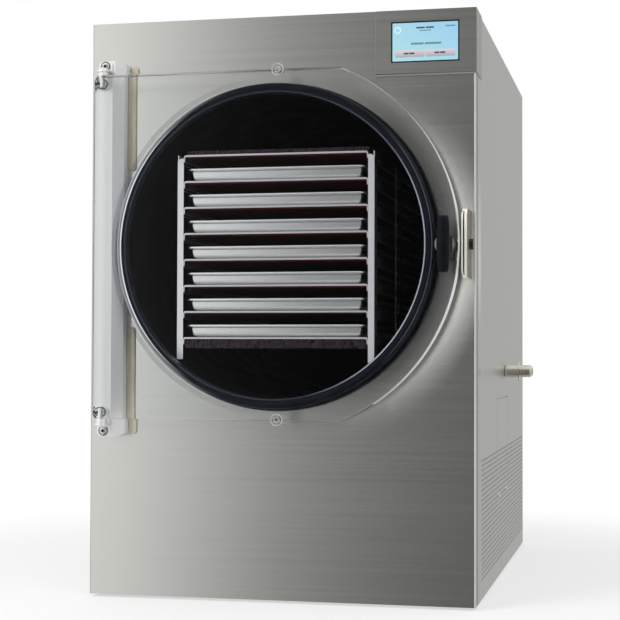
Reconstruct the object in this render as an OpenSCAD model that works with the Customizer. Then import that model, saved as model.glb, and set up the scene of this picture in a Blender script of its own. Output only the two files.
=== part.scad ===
// Cabinet freeze dryer: a round vacuum chamber with a clear swing door over a refrigeration compartment.
// X runs across the front, Y from the front to the back, Z up. Millimetres.

/* [Cabinet] */
// Width of the cabinet
cabinet_w = 537; // [500:1:660]
// Height of the cabinet without its feet
cabinet_h = 794; // [760:1:960]
// Depth from the face of the front panel to the face of the back panel
cabinet_d = 735; // [700:1:900]
// Thickness of the cabinet's steel sheets
sheet = 1.5; // [1:0.1:2]
// Outer bend radius of the front panel's corners
bend_r = 2.5; // [1.5:0.1:4]
// Depth of the front panel's side returns
front_return = 62; // [45:1:75]
// Drop of the top cover's skirt
cover_skirt = 29; // [20:1:40]
// How far the rubber feet stand below the cabinet
foot_drop = 4; // [2:0.5:12]
// Diameter of a rubber foot
foot_d = 38; // [30:1:50]
// Distance from a foot's centre to the cabinet's sides
foot_inset = 48; // [35:1:70]

/* [Chamber] */
// Sideways offset of the chamber's axis from the middle of the cabinet
chamber_x = 2; // [0:0.5:6]
// Height of the chamber's axis above the cabinet's bottom edge
chamber_z = 477.5; // [470:0.5:490]
// Inner radius of the chamber
chamber_r = 206; // [200:1:212]
// Wall of the chamber
chamber_wall = 4; // [3:0.5:5]
// Depth of the chamber's straight wall behind the front panel's face
chamber_depth = 520; // [500:1:560]
// Depth of the dished back wall
dish = 34; // [20:1:50]
// How far the rubber gasket stands in front of the front panel
gasket_out = 38.2; // [34:0.1:38.2]
// Outer radius of the gasket
gasket_r = 217.5; // [214:0.5:219]
// Depth of the gasket's collar from front to back
gasket_t = 30; // [20:0.5:32]
// Outer radius of the steel flange behind the gasket
flange_r = 221.5; // [220:0.5:226]
// Diameter of the evaporator tube
coil_d = 9.5; // [8:0.5:12]
// Turns of the evaporator tube
coil_turns = 12; // [6:1:16]
// Thickness of the foam jacket
foam = 26; // [18:1:28]

/* [Rack and trays] */
// Number of trays
tray_count = 7; // [7:1:7]
// Outer width of the rack
rack_w = 273; // [266:1:286]
// How far the rack sits to the left of the chamber's axis
rack_shift = 2.3; // [0:0.1:4]
// Depth of the rack from front to back
rack_d = 470; // [440:1:480]
// Distance from one shelf to the next
shelf_pitch = 35.5; // [34:0.1:36]
// Height of the top shelf above the chamber's axis
shelf_rise = 126.6; // [120:0.1:128]
// How far the rack's front stands forward of the front panel's face
rack_front = 12; // [6:1:16]
// Thickness of a shelf
shelf_t = 2; // [1.5:0.1:3]
// Thickness of a heater mat
mat_t = 2.4; // [1.5:0.1:3]
// Thickness of the wrapped pad on the top shelf
top_pad_t = 6; // [4:0.5:8]
// Thickness of the wrapped pad under the lowest shelf
low_pad_t = 13; // [8:0.5:14]
// Width of the rack's front uprights
upright_w = 8.5; // [8:0.5:12]
// Gap between a tray's rim and the rack's side
tray_side_gap = 11.5; // [11:0.5:20]
// How much shorter a tray is than its shelf
tray_short = 18; // [14:1:40]
// Height of a tray
tray_h = 17; // [15:0.5:20]
// Width of a tray's rim
tray_rim = 5; // [4:0.5:7]
// How far a tray's walls lean in towards its floor
tray_draft = 6; // [3:0.5:8]
// Thickness of a tray's sheet
tray_t = 1; // [0.8:0.1:1.5]

/* [Door] */
// Radius of the door's round side
door_r = 251.5; // [250:0.5:252]
// Height of the door
door_h = 465; // [450:1:480]
// Thickness of the clear door
door_t = 25; // [20:0.5:25.4]
// Distance of the hinge axis from the middle of the cabinet
hinge_x = 233.5; // [232:0.5:235]
// Diameter of a hinge pin
pin_d = 8; // [6:0.5:10]
// Radial running clearance of the pins and of the latch shaft
running = 0.05; // [0.02:0.01:0.1]
// How deep a hinge pin reaches into the door
pin_depth = 25; // [18:1:40]
// Diameter of a clear bumper stud's head
bumper_d = 17; // [14:0.5:20]

/* [Hinge channel] */
// Width of the hinge channel
channel_w = 39.5; // [36:0.5:42]
// Height of the hinge channel
channel_h = 515; // [505:1:530]
// How far the hinge channel stands out
channel_out = 31.5; // [28:0.5:32]
// Thickness of the channel and of the hinge brackets
channel_t = 2; // [1.5:0.1:2.5]
// Width of a hinge bracket
bracket_w = 19; // [16:0.5:22]
// Height of a hinge bracket's screwed leg
bracket_h = 41; // [38:1:48]
// Distance between the two screws of a hinge bracket
bracket_pitch = 26; // [24:0.5:27]
// How far a hinge bracket's screwed leg sits outboard of its pin
bracket_shift = 3.5; // [0:0.5:4]

/* [Latch] */
// Distance of the latch shaft from the middle of the cabinet
latch_x = 236; // [235:0.5:237]
// How far the latch shaft sits below the chamber's axis
latch_drop = 2.5; // [0:0.5:4]
// Diameter of the latch shaft
latch_shaft_d = 12; // [8:0.5:12]
// Length of the turned grip
grip_l = 74; // [60:1:90]
// Diameter of the grip at its middle
grip_d = 17.5; // [15:0.5:22]
// Diameter of the grip at its ends
grip_end_d = 12; // [9:0.5:14]
// Distance from the front of the door to the middle of the grip
grip_out = 14.5; // [13:0.5:18]
// Reach of the latch cam's nose
nose_r = 18.5; // [16:0.5:18.5]
// Thickness of the latch cam
cam_t = 5; // [4:0.5:6]
// Height of the strike
strike_h = 90; // [70:1:100]
// How far the strike stands out of the front panel
strike_out = 50; // [44:1:52]
// Width of the strike's channel
strike_w = 7.5; // [7:0.5:8]
// Diameter of the strike's cross bolt
strike_bolt_d = 8; // [6:0.5:8]

/* [Control panel] */
// Width of the control panel
panel_w = 135; // [120:1:160]
// Height of the control panel
panel_h = 86; // [76:1:88]
// Thickness of the control panel
panel_t = 1.5; // [1.2:0.1:2.5]
// Width of the touch screen
screen_w = 92; // [80:1:100]
// Height of the touch screen
screen_h = 55; // [48:1:60]
// Distance from the cabinet's right side to the middle of the screen
screen_in = 67.4; // [60:0.1:75]

/* [Side vents and service cover] */
// Distance between neighbouring vent holes
vent_pitch = 15; // [12:0.5:24]
// Diameter of a vent hole
vent_d = 7; // [4:0.5:8]
// Height of the vent field's lowest row
vent_z0 = 30; // [25:1:40]
// Height of the vent field's upper edge
vent_z1 = 192; // [150:1:200]
// Service cover's front edge
service_y = 281; // [260:1:300]
// Width of the service cover
service_w = 164; // [150:1:180]
// Service cover's lower edge
service_z = 107; // [100:1:120]
// Height of the service cover
service_h = 158; // [120:1:165]
// Distance of the vacuum fitting behind the front panel's face
fitting_y = 407; // [380:1:420]
// Height of the vacuum fitting
fitting_z = 307; // [300:1:320]
// Diameter of the vacuum fitting
fitting_d = 20; // [18:0.5:24]
// How far the vacuum fitting and the drain valve stand out of the cabinet's sides
side_reach = 43; // [40:1:60]

/* [Machinery] */
// Radius of the compressor's shell
compressor_r = 78; // [60:1:80]
// Height of the compressor
compressor_h = 178; // [150:1:185]
// Outer diameter of the condenser fan
fan_d = 150; // [120:1:154]
// Number of fan blades
fan_blades = 5; // [3:1:7]
// Diameter of the fan's shaft
fan_shaft_d = 8; // [6:0.5:10]
// Number of condenser fins
fin_count = 22; // [10:1:26]
// Distance of the drain valve behind the front panel's face
drain_y = 300; // [280:1:320]
// Length of the drain valve's lever
lever_l = 58; // [40:1:70]

/* [Hidden] */
$fn = 96;
TRAYS = [for (i = [1 : tray_count]) str("tray_", i)];

// Colours
steel = [0.72, 0.72, 0.70];
dark_steel = [0.42, 0.42, 0.41];
bright_steel = [0.84, 0.84, 0.82];
black_rubber = [0.07, 0.08, 0.10];
black_plastic = [0.10, 0.10, 0.11];
clear = [0.85, 0.93, 0.95, 0.35];
copper = [0.78, 0.45, 0.30];
brass = [0.80, 0.68, 0.38];

gap = 0.3;
// Hairline left between the members of one welded piece.
seam = 0.05;
door_gap = gasket_out + gap;

// Cabinet
half_w = cabinet_w / 2;
skirt_z = cabinet_h - cover_skirt;
inner_w = half_w - sheet;
joggle = 6;
y_back = cabinet_d - sheet;
rear_reach = 8;
grip_front = door_gap + door_t + grip_out + grip_d / 2;
y_mid = (cabinet_d + rear_reach - grip_front) / 2;

// Chamber
shell_r = chamber_r + chamber_wall;
flange_t = 5;
gasket_lip = 16.2;
flange_y = -gasket_out + gasket_t;
lip_y = -gasket_out + 8;
foam_r0 = shell_r + coil_d + 0.6;
foam_r1 = foam_r0 + foam;
foam_y0 = 8;
foam_y1 = chamber_depth + dish + 24;
panel_hole_r = shell_r + 2;
cradle_ys = [110, 440];

// Rack
rack_y0 = -rack_front;
shelf_count = tray_count + 1;
shelf_top = chamber_z + shelf_rise;
side_t = 1.5;
rack_x = chamber_x - rack_shift;
rack_in = rack_w / 2 - side_t;
function shelf_z(i) = shelf_top - (shelf_count - 1 - i) * shelf_pitch;
function chamber_floor(x, r) = chamber_z - sqrt(r * r - x * x);
tray_y0 = rack_y0 + 1;
tray_w = 2 * (rack_in - tray_side_gap);
tray_d = rack_d - tray_short;

// Door and hinge
door_y0 = -door_gap - door_t;
door_y1 = -door_gap;
pivot_y = -door_gap - door_t / 2;
tongue_gap = 6.5;
tongue_t = 2.5;
bracket_y = -channel_out - tongue_t;
washer_t = 1;
door_top = chamber_z + door_h / 2;
tongue_z = door_top + tongue_gap;
bumper_x = 14.5;
bumper_stem_d = 8.5;

// Latch
latch_z = chamber_z - latch_drop;
cam_y = -14;
strike_x = latch_x + nose_r + 1;
strike_z = chamber_z;
strike_bolt_y = -20;
strike_t = 2.2;

// Machinery
condenser_x = around(half_w - 40.5, 22);
condenser_y = [140, 420];
condenser_z = [14, 192];
fan_y = (condenser_y[0] + condenser_y[1]) / 2;
fan_z = (condenser_z[0] + condenser_z[1]) / 2;
shroud_x = [condenser_x[0] - 22, condenser_x[0]];
motor_x = [condenser_x[0] - 110, condenser_x[0] - 56];
compressor_x = -118;
compressor_y = 588;
compressor_z = 14;
drain_z = 214;
drain_r = 6;
vacuum_line_r = 8;
inlet_x = 150;
inlet_z = 90;
switch_x = 205;
pump_x = 95;

// ---- Shared shapes ----

// Everything sits with its box centred over the origin and its feet at Z 0.
module placed() translate([0, -y_mid, foot_drop]) children();

// A range from half below to half above a middle value, and a range moved by an offset.
function around(middle, half) = [middle - half, middle + half];
function shift(offset, range) = [range[0] + offset, range[1] + offset];

// A block between two corners, given as a range along each axis.
module block(x, y, z)
    translate([x[0], y[0], z[0]]) cube([x[1] - x[0], y[1] - y[0], z[1] - z[0]]);

module rod_x(x, y, z, r) translate([x[0], y, z]) rotate([0, 90, 0]) cylinder(r = r, h = x[1] - x[0]);

module rod_y(x, y, z, r) translate([x, y[0], z]) rotate([-90, 0, 0]) cylinder(r = r, h = y[1] - y[0]);

module rod_z(x, y, z, r) translate([x, y, z[0]]) cylinder(r = r, h = z[1] - z[0]);

module both_sides() {
    children();
    mirror([1, 0, 0]) children();
}

// Turns a profile of radius and depth about the chamber's axis.
module about_chamber() translate([chamber_x, 0, chamber_z]) rotate([-90, 0, 0])
    rotate_extrude($fn = 180) children();

// The same shape at the top of the door and mirrored to its bottom.
module top_and_bottom() {
    children();
    translate([0, 0, 2 * chamber_z]) mirror([0, 0, 1]) children();
}

// ---- Cabinet ----

module base_pan() placed() color(dark_steel) difference() {
    union() {
        block([-inner_w, inner_w], [sheet, y_back], [0, sheet]);
        both_sides() block([inner_w - sheet, inner_w], [sheet, y_back], [sheet, 24]);
        block([-inner_w + sheet, inner_w - sheet], [sheet, 2 * sheet], [sheet, 24]);
        block([-inner_w + sheet, inner_w - sheet], [y_back - sheet, y_back], [sheet, 24]);
    }
    for (x = [-1, 1] * (half_w - foot_inset), y = [foot_inset, cabinet_d - foot_inset])
        rod_z(x, y, [-1, sheet + 1], foot_stem_r + 0.1);
}

foot_stem_r = 5;

module feet() placed() color(black_rubber)
    for (x = [-1, 1] * (half_w - foot_inset), y = [foot_inset, cabinet_d - foot_inset])
        translate([x, y, 0]) rotate_extrude() polygon([
            [0, -foot_drop], [foot_d / 2 - 2, -foot_drop], [foot_d / 2, 0], [foot_stem_r, 0],
            [foot_stem_r, sheet], [foot_stem_r + 3, sheet], [foot_stem_r + 2, sheet + 4], [0, sheet + 4]]);

module front_section() difference() {
    union() {
        translate([-half_w, bend_r]) square([cabinet_w, front_return - bend_r]);
        translate([-half_w + bend_r, 0]) square([cabinet_w - 2 * bend_r, bend_r]);
        for (s = [-1, 1]) translate([s * (half_w - bend_r), bend_r]) circle(bend_r);
    }
    translate([-inner_w, sheet]) square([2 * inner_w, front_return]);
}

module front_panel() placed() color(steel) difference() {
    union() {
        linear_extrude(cabinet_h) front_section();
        both_sides() block([inner_w - sheet, inner_w], [front_return - joggle, front_return + 2 * joggle],
            [30, skirt_z - 2 * cover_skirt]);
    }
    block([-half_w - 1, half_w + 1], [sheet, front_return + 1], [skirt_z, cabinet_h + 1]);
    rod_y(chamber_x, [-1, sheet + 1], chamber_z, panel_hole_r);
    block(around(half_w - screen_in, screen_w / 2 + 2), [-1, sheet + 1], around(screen_z, screen_h / 2 + 2));
}

function vent_rows() = floor((vent_z1 - vent_z0) / (vent_pitch * sin(60)));
function vent_columns() = floor((cabinet_d - front_return - 40) / vent_pitch);
function vent_spots() = [for (r = [0 : vent_rows()], c = [0 : vent_columns() - 1])
    [front_return + 18 + c * vent_pitch + (r % 2) * vent_pitch / 2, vent_z0 + r * vent_pitch * sin(60)]];
// True where a hole at p clears a window from y0 to y1 and z0 to z1 by the margin m.
function outside(p, y, z, m) = p[0] < y[0] - m || p[0] > y[1] + m || p[1] < z[0] - m || p[1] > z[1] + m;
service_ys = [service_y, service_y + service_w];
service_zs = [service_z, service_z + service_h];
vent_margin = vent_d / 2 + 3;

// The flat of a side panel, drawn as Y and Z.
module side_flat(spots) difference() {
    translate([front_return, 0]) square([cabinet_d - front_return, skirt_z]);
    for (p = spots) translate(p) circle(d = vent_d, $fn = 24);
}

// Stands a flat drawn in Y and Z at the cabinet's right side.
module at_side(t) translate([half_w - t, 0, 0]) rotate([90, 0, 90]) linear_extrude(t) children();

module side_folds() {
    block([inner_w - sheet, inner_w], [front_return + 3 * joggle, y_back - sheet], [skirt_z - 10, skirt_z + 14]);
    block([inner_w - 14, inner_w], [y_back - sheet, y_back], [30, skirt_z - 12]);
}

module left_side_panel() placed() color(steel) mirror([1, 0, 0]) {
    difference() {
        at_side(sheet) side_flat(vent_spots());
        rod_x([inner_w - 1, half_w + 1], drain_y, drain_z, drain_r + 1.2);
    }
    side_folds();
}

module right_side_panel() placed() color(steel) {
    difference() {
        at_side(sheet) difference() {
            side_flat([for (p = vent_spots()) if (outside(p, service_ys, service_zs, vent_margin)) p]);
            translate([service_y, service_z]) square([service_w, service_h]);
        }
        rod_x([inner_w - 1, half_w + 1], fitting_y, fitting_z, vacuum_line_r + 1);
    }
    // Strip behind the service cover's lower edge that takes its two screws.
    block([inner_w - sheet, inner_w], [service_y + 6, service_y + service_w - 6],
        shift(service_z, [-8, 22]));
    side_folds();
}

cover_gap = 1;
cover_screws = [for (y = [22, service_w - 22]) [service_y + y, service_z + 14]];

module service_cover() placed() color(steel) {
    at_side(sheet) difference() {
        translate([service_y + cover_gap, service_z + cover_gap])
            square([service_w - 2 * cover_gap, service_h - 2 * cover_gap]);
        for (p = vent_spots())
            if (!outside(p, service_ys, [service_z + 24, service_zs[1]], -vent_margin)) translate(p)
                circle(d = vent_d, $fn = 24);
        for (p = cover_screws) translate(p) circle(r = 2.2, $fn = 24);
    }
    // Tongue that hooks behind the panel at the cover's upper edge.
    block([inner_w - sheet, inner_w], [service_y + 12, service_y + service_w - 12],
        [service_zs[1] - 12, service_zs[1] + 10]);
}

module top_cover() placed() color(steel) {
    block([-half_w, half_w], [sheet, cabinet_d], [cabinet_h - sheet, cabinet_h]);
    both_sides() block([inner_w, half_w], [sheet, cabinet_d], [skirt_z, cabinet_h - sheet]);
    block([-inner_w, inner_w], [y_back, cabinet_d], [skirt_z, cabinet_h - sheet]);
}

slot_h = 5;
slot_w = 110;
slot_step = 14;
slot_xs = [-210, -80];

module rear_panel() placed() color(steel) difference() {
    block([-inner_w, inner_w], [y_back, cabinet_d], [0, skirt_z]);
    // Air slots behind the compressor and high up for the chamber's electrics.
    for (x = slot_xs, i = [0 : 11])
        block([x, x + slot_w], [y_back - 1, cabinet_d + 1], shift(40 + i * slot_step, [0, slot_h]));
    for (x = [slot_xs[0], -slot_xs[0] - slot_w], i = [0 : 5])
        block([x, x + slot_w], [y_back - 1, cabinet_d + 1], shift(skirt_z - 125 + i * slot_step, [0, slot_h]));
    block(around(inlet_x, 14.2), [y_back - 1, cabinet_d + 1], around(inlet_z, 10.2));
    block(around(switch_x, 9.7), [y_back - 1, cabinet_d + 1], around(inlet_z, 13.2));
    for (p = rear_screws) rod_y(p[0], [y_back - 1, cabinet_d + 1], p[1], screw_r + 0.1);
}

screw_r = 2;
rear_screws = [for (s = [-1, 1], z = [60, 300, 540, skirt_z - 40]) [s * (inner_w - 7), z]];

module pan_screw(head_r, head_h, length) {
    intersection() {
        cylinder(r = head_r, h = head_h);
        translate([0, 0, head_h - head_r * 1.6]) sphere(head_r * 1.6);
    }
    translate([0, 0, -length]) cylinder(r = screw_r, h = length);
}

module cabinet_screws() placed() color(bright_steel) {
    for (p = rear_screws) translate([p[0], cabinet_d, p[1]]) rotate([-90, 0, 0]) pan_screw(4, 2.4, sheet);
    for (p = cover_screws) translate([half_w, p[0], p[1]]) rotate([0, 90, 0]) pan_screw(4, 2.4, sheet);
}

// ---- Control panel ----

panel_z0 = cabinet_h - panel_h;
screen_z = panel_z0 + panel_h / 2;
bevel = 1;

module control_panel() placed() color(dark_steel) difference() {
    union() {
        // Front plate, its left and lower edges bevelled.
        hull() {
            block([half_w - panel_w, half_w + panel_t], [-0.5, 0], [panel_z0, cabinet_h]);
            block([half_w - panel_w + bevel, half_w + panel_t], [-panel_t, 0], [panel_z0 + bevel, cabinet_h]);
        }
        block([half_w, half_w + panel_t], [-panel_t, front_return], [panel_z0, cabinet_h]);
    }
    block(around(half_w - screen_in, screen_w / 2), [-panel_t - 1, 1], around(screen_z, screen_h / 2));
}

module touch_screen() placed() color([0.10, 0.12, 0.14])
    block(around(half_w - screen_in, screen_w / 2 - 0.2), [-panel_t + 0.4, sheet],
        around(screen_z, screen_h / 2 - 0.2));

module screen_module() placed() color(black_plastic) {
    x = half_w - screen_in;
    block(around(x, screen_w / 2 + 8), [sheet, sheet + 3], around(screen_z, screen_h / 2 + 6));
    block(around(x, screen_w / 2 - 4), [sheet + 3, sheet + 16], around(screen_z, screen_h / 2 - 4));
}

// ---- Chamber ----

dish_r = (shell_r * shell_r + dish * dish) / (2 * dish);
function dish_y(r, s) = chamber_depth + s + sqrt(dish_r * dish_r - r * r) - (dish_r - dish);
dish_steps = [for (i = [0 : 8]) i / 8];

// Tube with a flange ring round it and a dished back, seamed to each other.
module vacuum_chamber() placed() color(steel) {
    difference() {
        about_chamber() polygon([[chamber_r, lip_y], [shell_r, lip_y], [shell_r, dish_y(shell_r, 0) - seam],
            [chamber_r, dish_y(chamber_r, -chamber_wall) - seam]]);
        rod_x([shell_r / 3, shell_r + 1], fitting_y, fitting_z, vacuum_line_r - 2.5);
        rod_z(chamber_x, drain_y, [chamber_z - shell_r - 5, chamber_z - chamber_r + 10], drain_r - 2);
    }
    about_chamber() translate([shell_r + seam, flange_y]) square([flange_r - shell_r - seam, flange_t]);
    about_chamber() polygon(concat(
        [for (k = dish_steps) let (r = shell_r * (1 - k)) [r, dish_y(r, 0)]],
        [for (k = dish_steps) let (r = chamber_r * k) [r, dish_y(r, -chamber_wall)]]));
}

module door_gasket() placed() color(black_rubber) about_chamber() difference() {
    union() {
        r = 3.5;
        in_r = chamber_r - 1.8;
        translate([in_r, -gasket_out + r]) square([gasket_r - in_r, gasket_lip - r]);
        translate([in_r + r, -gasket_out]) square([gasket_r - in_r - 2 * r, gasket_lip]);
        translate([chamber_r, -gasket_out + r]) square([gasket_r - chamber_r, gasket_t - gap - r]);
        for (x = [in_r + r, gasket_r - r]) translate([x, -gasket_out + r]) circle(r);
    }
    translate([chamber_r - 0.1, lip_y - 0.1]) square([chamber_wall + 0.2, gasket_t]);
}

coil_r = shell_r + coil_d / 2 + 0.2;
coil_y0 = 36;
coil_pitch = (chamber_depth - coil_y0 - 90) / coil_turns;
coil_clear = coil_d / 2 + vacuum_line_r + 1;
// Places of the turns, leaving out any that would cross the vacuum line or the drain.
coil_ys = [for (i = [0 : coil_turns]) let (y = coil_y0 + i * coil_pitch)
    if (abs(y - fitting_y) > coil_clear && abs(y - drain_y) > coil_clear) y];

// Evaporator tube: closed turns brazed round the chamber's shell.
module evaporator_coil() placed() color(copper)
    for (y = coil_ys) translate([chamber_x, y, chamber_z]) rotate([90, 0, 0])
        rotate_extrude($fn = 120) translate([coil_r, 0]) circle(d = coil_d, $fn = 32);

module foam_jacket() placed() color([0.86, 0.80, 0.62]) difference() {
    about_chamber() polygon(concat([[foam_r0, foam_y0], [foam_r1, foam_y0], [foam_r1, foam_y1], [0, foam_y1]],
        [for (k = dish_steps) [shell_r * k, dish_y(shell_r * k, gap)]], [[foam_r0, chamber_depth + gap]]));
    rod_x([shell_r / 3, foam_r1], fitting_y, fitting_z, vacuum_line_r + gap);
    rod_z(chamber_x, drain_y, [chamber_z - foam_r1 - 5, chamber_z - shell_r + 5], drain_r + gap);
}

cradle_w = 364;
cradle_leg = 40;
cradle_t = 3;
cradle_flange = 22;

module chamber_cradles() placed() color(dark_steel) for (y = cradle_ys) {
    difference() {
        block(around(0, cradle_w / 2), [y, y + cradle_t], [sheet, chamber_floor(cradle_w / 2 - 20, foam_r1)]);
        rod_y(chamber_x, [y - 1, y + cradle_t + 1], chamber_z, foam_r1 + gap);
        block(around(0, cradle_w / 2 - cradle_leg), [y - 1, y + cradle_t + 1], [sheet + 12, drain_z - 14]);
    }
    both_sides() block([cradle_w / 2 - cradle_leg, cradle_w / 2], [y + cradle_t, y + cradle_flange],
        [sheet, sheet + cradle_t]);
}

// ---- Rack and trays ----

strut_w = 22;
strut_ys = [rack_y0, rack_y0 + 205, rack_y0 + rack_d - strut_w];

rail_h = 11;
angle_h = 9.5;
upright_top = shelf_top - 4.5;
corner = 6;

// One side of the rack: struts joined by rails at each shelf, with a round-topped upright folded in at the
// front. It stands on the chamber's floor at its outer face.
module rack_side(from_axis) {
    z0 = chamber_floor(from_axis, chamber_r - gap);
    x = [rack_in, rack_w / 2];
    for (y = strut_ys) block(x, [y, y + strut_w], [z0, upright_top - corner]);
    for (i = [0 : shelf_count - 1])
        block(x, [rack_y0 + side_t, rack_y0 + rack_d], shift(shelf_z(i), [-rail_h, 0]));
    translate([0, rack_y0 + side_t, 0]) rotate([90, 0, 0]) linear_extrude(side_t) {
        translate([rack_w / 2 - upright_w, z0]) square([upright_w, upright_top - corner - z0]);
        translate([rack_w / 2 - upright_w, z0]) square([upright_w - corner, upright_top - z0]);
        translate([rack_w / 2 - corner, upright_top - corner]) intersection() {
            circle(corner);
            square(corner);
        }
    }
}

module rack_right_side() placed() color(bright_steel) translate([rack_x, 0, 0])
    rack_side(rack_w / 2 - rack_shift);
module rack_left_side() placed() color(bright_steel) translate([rack_x, 0, 0]) mirror([1, 0, 0])
    rack_side(rack_w / 2 + rack_shift);

// Shelves with a folded front edge between the uprights, each on two angles fixed to the rack's sides.
module shelves() placed() color(bright_steel) translate([rack_x, 0, 0]) for (i = [0 : shelf_count - 1]) {
    z = shelf_z(i);
    y = [rack_y0 + side_t, rack_y0 + rack_d];
    block([-rack_in, rack_in], y, [z - shelf_t, z]);
    block(around(0, rack_w / 2 - upright_w), [rack_y0, rack_y0 + side_t], [z - shelf_t - 0.6, z]);
    both_sides() block([rack_in - side_t, rack_in], y, [z - angle_h, z - shelf_t - seam]);
}

// Heater mats under the shelves, with a thicker wrapped pad under the lowest one and on the top one.
module heater_mats() placed() color([0.55, 0.12, 0.10]) translate([rack_x, 0, 0]) {
    w = rack_in - side_t - 1;
    y = [rack_y0 + 3, rack_y0 + rack_d - 12];
    for (i = [0 : shelf_count - 1]) let (t = i == 0 ? low_pad_t : mat_t)
        block([-w, w], y, shift(shelf_z(i) - shelf_t, [-t, 0]));
    block([-w, w], y, shift(shelf_top, [0, top_pad_t]));
}

corner_r = 20;

module tray_outline(w, d, inset) translate([-w / 2 + inset, inset]) offset(r = corner_r - inset)
    translate([corner_r - inset, corner_r - inset]) square([w - 2 * corner_r, d - 2 * corner_r]);

// A tapered block with round corners, w by d at the top and smaller by the draft at the bottom.
module tray_form(w, d, z0, z1) hull() {
    translate([0, 0, z0]) linear_extrude(0.01) tray_outline(w, d, tray_draft, $fn = 32);
    translate([0, 0, z1 - 0.01]) linear_extrude(0.01) tray_outline(w, d, 0, $fn = 32);
}

module tray(i) placed() color(bright_steel) translate([rack_x, tray_y0, shelf_z(i - 1)]) difference() {
    union() {
        translate([0, tray_rim, 0]) tray_form(tray_w - 2 * tray_rim, tray_d - 2 * tray_rim, 0, tray_h - 0.1);
        // Flat rim with its edge turned down.
        translate([0, 0, tray_h - tray_t]) linear_extrude(tray_t) tray_outline(tray_w, tray_d, 0, $fn = 32);
        translate([0, 0, tray_h - 2.6]) linear_extrude(2.6) difference() {
            tray_outline(tray_w, tray_d, 0, $fn = 32);
            tray_outline(tray_w, tray_d, tray_t, $fn = 32);
        }
    }
    translate([0, tray_rim + tray_t, 0])
        tray_form(tray_w - 2 * (tray_rim + tray_t), tray_d - 2 * (tray_rim + tray_t), tray_t, tray_h + 0.01);
}

// ---- Door and hinge ----

edge_r = door_t / 2;
edge_cut = 6;

module door() placed() color(clear) difference() {
    union() {
        intersection() {
            rod_y(chamber_x, [door_y0, door_y1], chamber_z, door_r);
            block([0, door_r + 5], [door_y0, door_y1], around(chamber_z, door_h / 2));
        }
        block([-hinge_x, 1], [door_y0, door_y1], around(chamber_z, door_h / 2));
        // Half-round hinge edge with eased ends.
        translate([-hinge_x, pivot_y, chamber_z - door_h / 2]) rotate_extrude() polygon([[0, 0],
            [edge_r - edge_cut / 2, 0], [edge_r, edge_cut], [edge_r, door_h - edge_cut],
            [edge_r - edge_cut / 2, door_h], [0, door_h]]);
    }
    top_and_bottom() {
        rod_z(-hinge_x, pivot_y, [door_top - pin_depth, door_top + 1], pin_d / 2 + running);
        rod_y(bumper_x, [door_y0 - 1, door_y1 + 1], door_top, bumper_stem_d / 2 + 0.1);
    }
    rod_y(latch_x, [door_y0 - 1, door_y1 + 1], latch_z, latch_shaft_d / 2 + running);
}

// Clear studs that sit in half-round notches in the door's upper and lower edges.
module door_bumpers() placed() color(clear) top_and_bottom() translate([bumper_x, 0, door_top]) {
    rod_y(0, [door_y0, door_y1], 0, bumper_stem_d / 2);
    translate([0, door_y0, 0]) rotate([90, 0, 0]) intersection() {
        cylinder(d = bumper_d, h = 3.5);
        translate([0, 0, 3.5 - bumper_d]) sphere(bumper_d);
    }
    translate([0, door_y1, 0]) rotate([-90, 0, 0]) cylinder(d = bumper_d, h = 2);
}

channel_x = -hinge_x - 9.5;
chamfer = 8;

// Channel that carries the door, its inner corners eased and its inner side cut away round the flange.
module hinge_channel() placed() color(steel) intersection() {
    translate([0, 0, chamber_z - channel_h / 2]) linear_extrude(channel_h) difference() {
        translate([channel_x, -channel_out]) square([channel_w, channel_out]);
        translate([channel_x + channel_t, -channel_out + channel_t])
            square([channel_w - 2 * channel_t, channel_out]);
    }
    translate([0, 1, chamber_z]) rotate([90, 0, 0]) linear_extrude(channel_out + 2) difference() {
        x = channel_x + channel_w;
        z = channel_h / 2;
        polygon([[channel_x - 1, -channel_h], [channel_x - 1, channel_h],
            [x - chamfer, z], [x, z - chamfer], [x, chamfer - z], [x - chamfer, -z]]);
        translate([chamber_x, 0]) circle(flange_r + 1.5);
    }
}

// Screwed leg on the channel and a tongue over the door's edge.
module hinge_brackets() placed() color(bright_steel) top_and_bottom() difference() {
    union() {
        translate([leg_x, -channel_out, bracket_mid]) rotate([90, 0, 0]) linear_extrude(tongue_t) {
            square([bracket_w, bracket_h - 2 * leg_corner], center = true);
            square([bracket_w - 2 * leg_corner, bracket_h], center = true);
            for (x = [-1, 1], y = [-1, 1])
                translate([x * (bracket_w / 2 - leg_corner), y * (bracket_h / 2 - leg_corner)]) circle(leg_corner);
        }
        block(around(-hinge_x, bracket_w / 2), [pivot_y, bracket_y], [tongue_z, tongue_z + tongue_t]);
        rod_z(-hinge_x, pivot_y, [tongue_z, tongue_z + tongue_t], bracket_w / 2);
    }
    rod_z(-hinge_x, pivot_y, [tongue_z - 1, tongue_z + tongue_t + 1], pin_d / 2 + 0.02);
    for (z = bracket_screw_zs) rod_y(leg_x, [bracket_y - 1, 0], z, screw_r + 0.1);
}

leg_x = -hinge_x - bracket_shift;
leg_corner = 7;
bracket_mid = tongue_z - 2;
bracket_screw_zs = around(bracket_mid, bracket_pitch / 2);

module hinge_pins() placed() color(bright_steel) top_and_bottom() translate([-hinge_x, pivot_y, 0]) {
    translate([0, 0, door_top - pin_depth + 1]) cylinder(d = pin_d, h = pin_depth - 1 + tongue_gap + tongue_t);
    translate([0, 0, tongue_z + tongue_t]) cylinder(d = pin_d + 5, h = 3);
}

module hinge_spacers() placed() color(bright_steel) top_and_bottom()
    translate([-hinge_x, pivot_y, door_top + gap]) difference() {
        cylinder(d = pin_d + 7, h = tongue_gap - gap);
        translate([0, 0, -1]) cylinder(r = pin_d / 2 + 0.02, h = tongue_gap + 2);
    }

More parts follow.
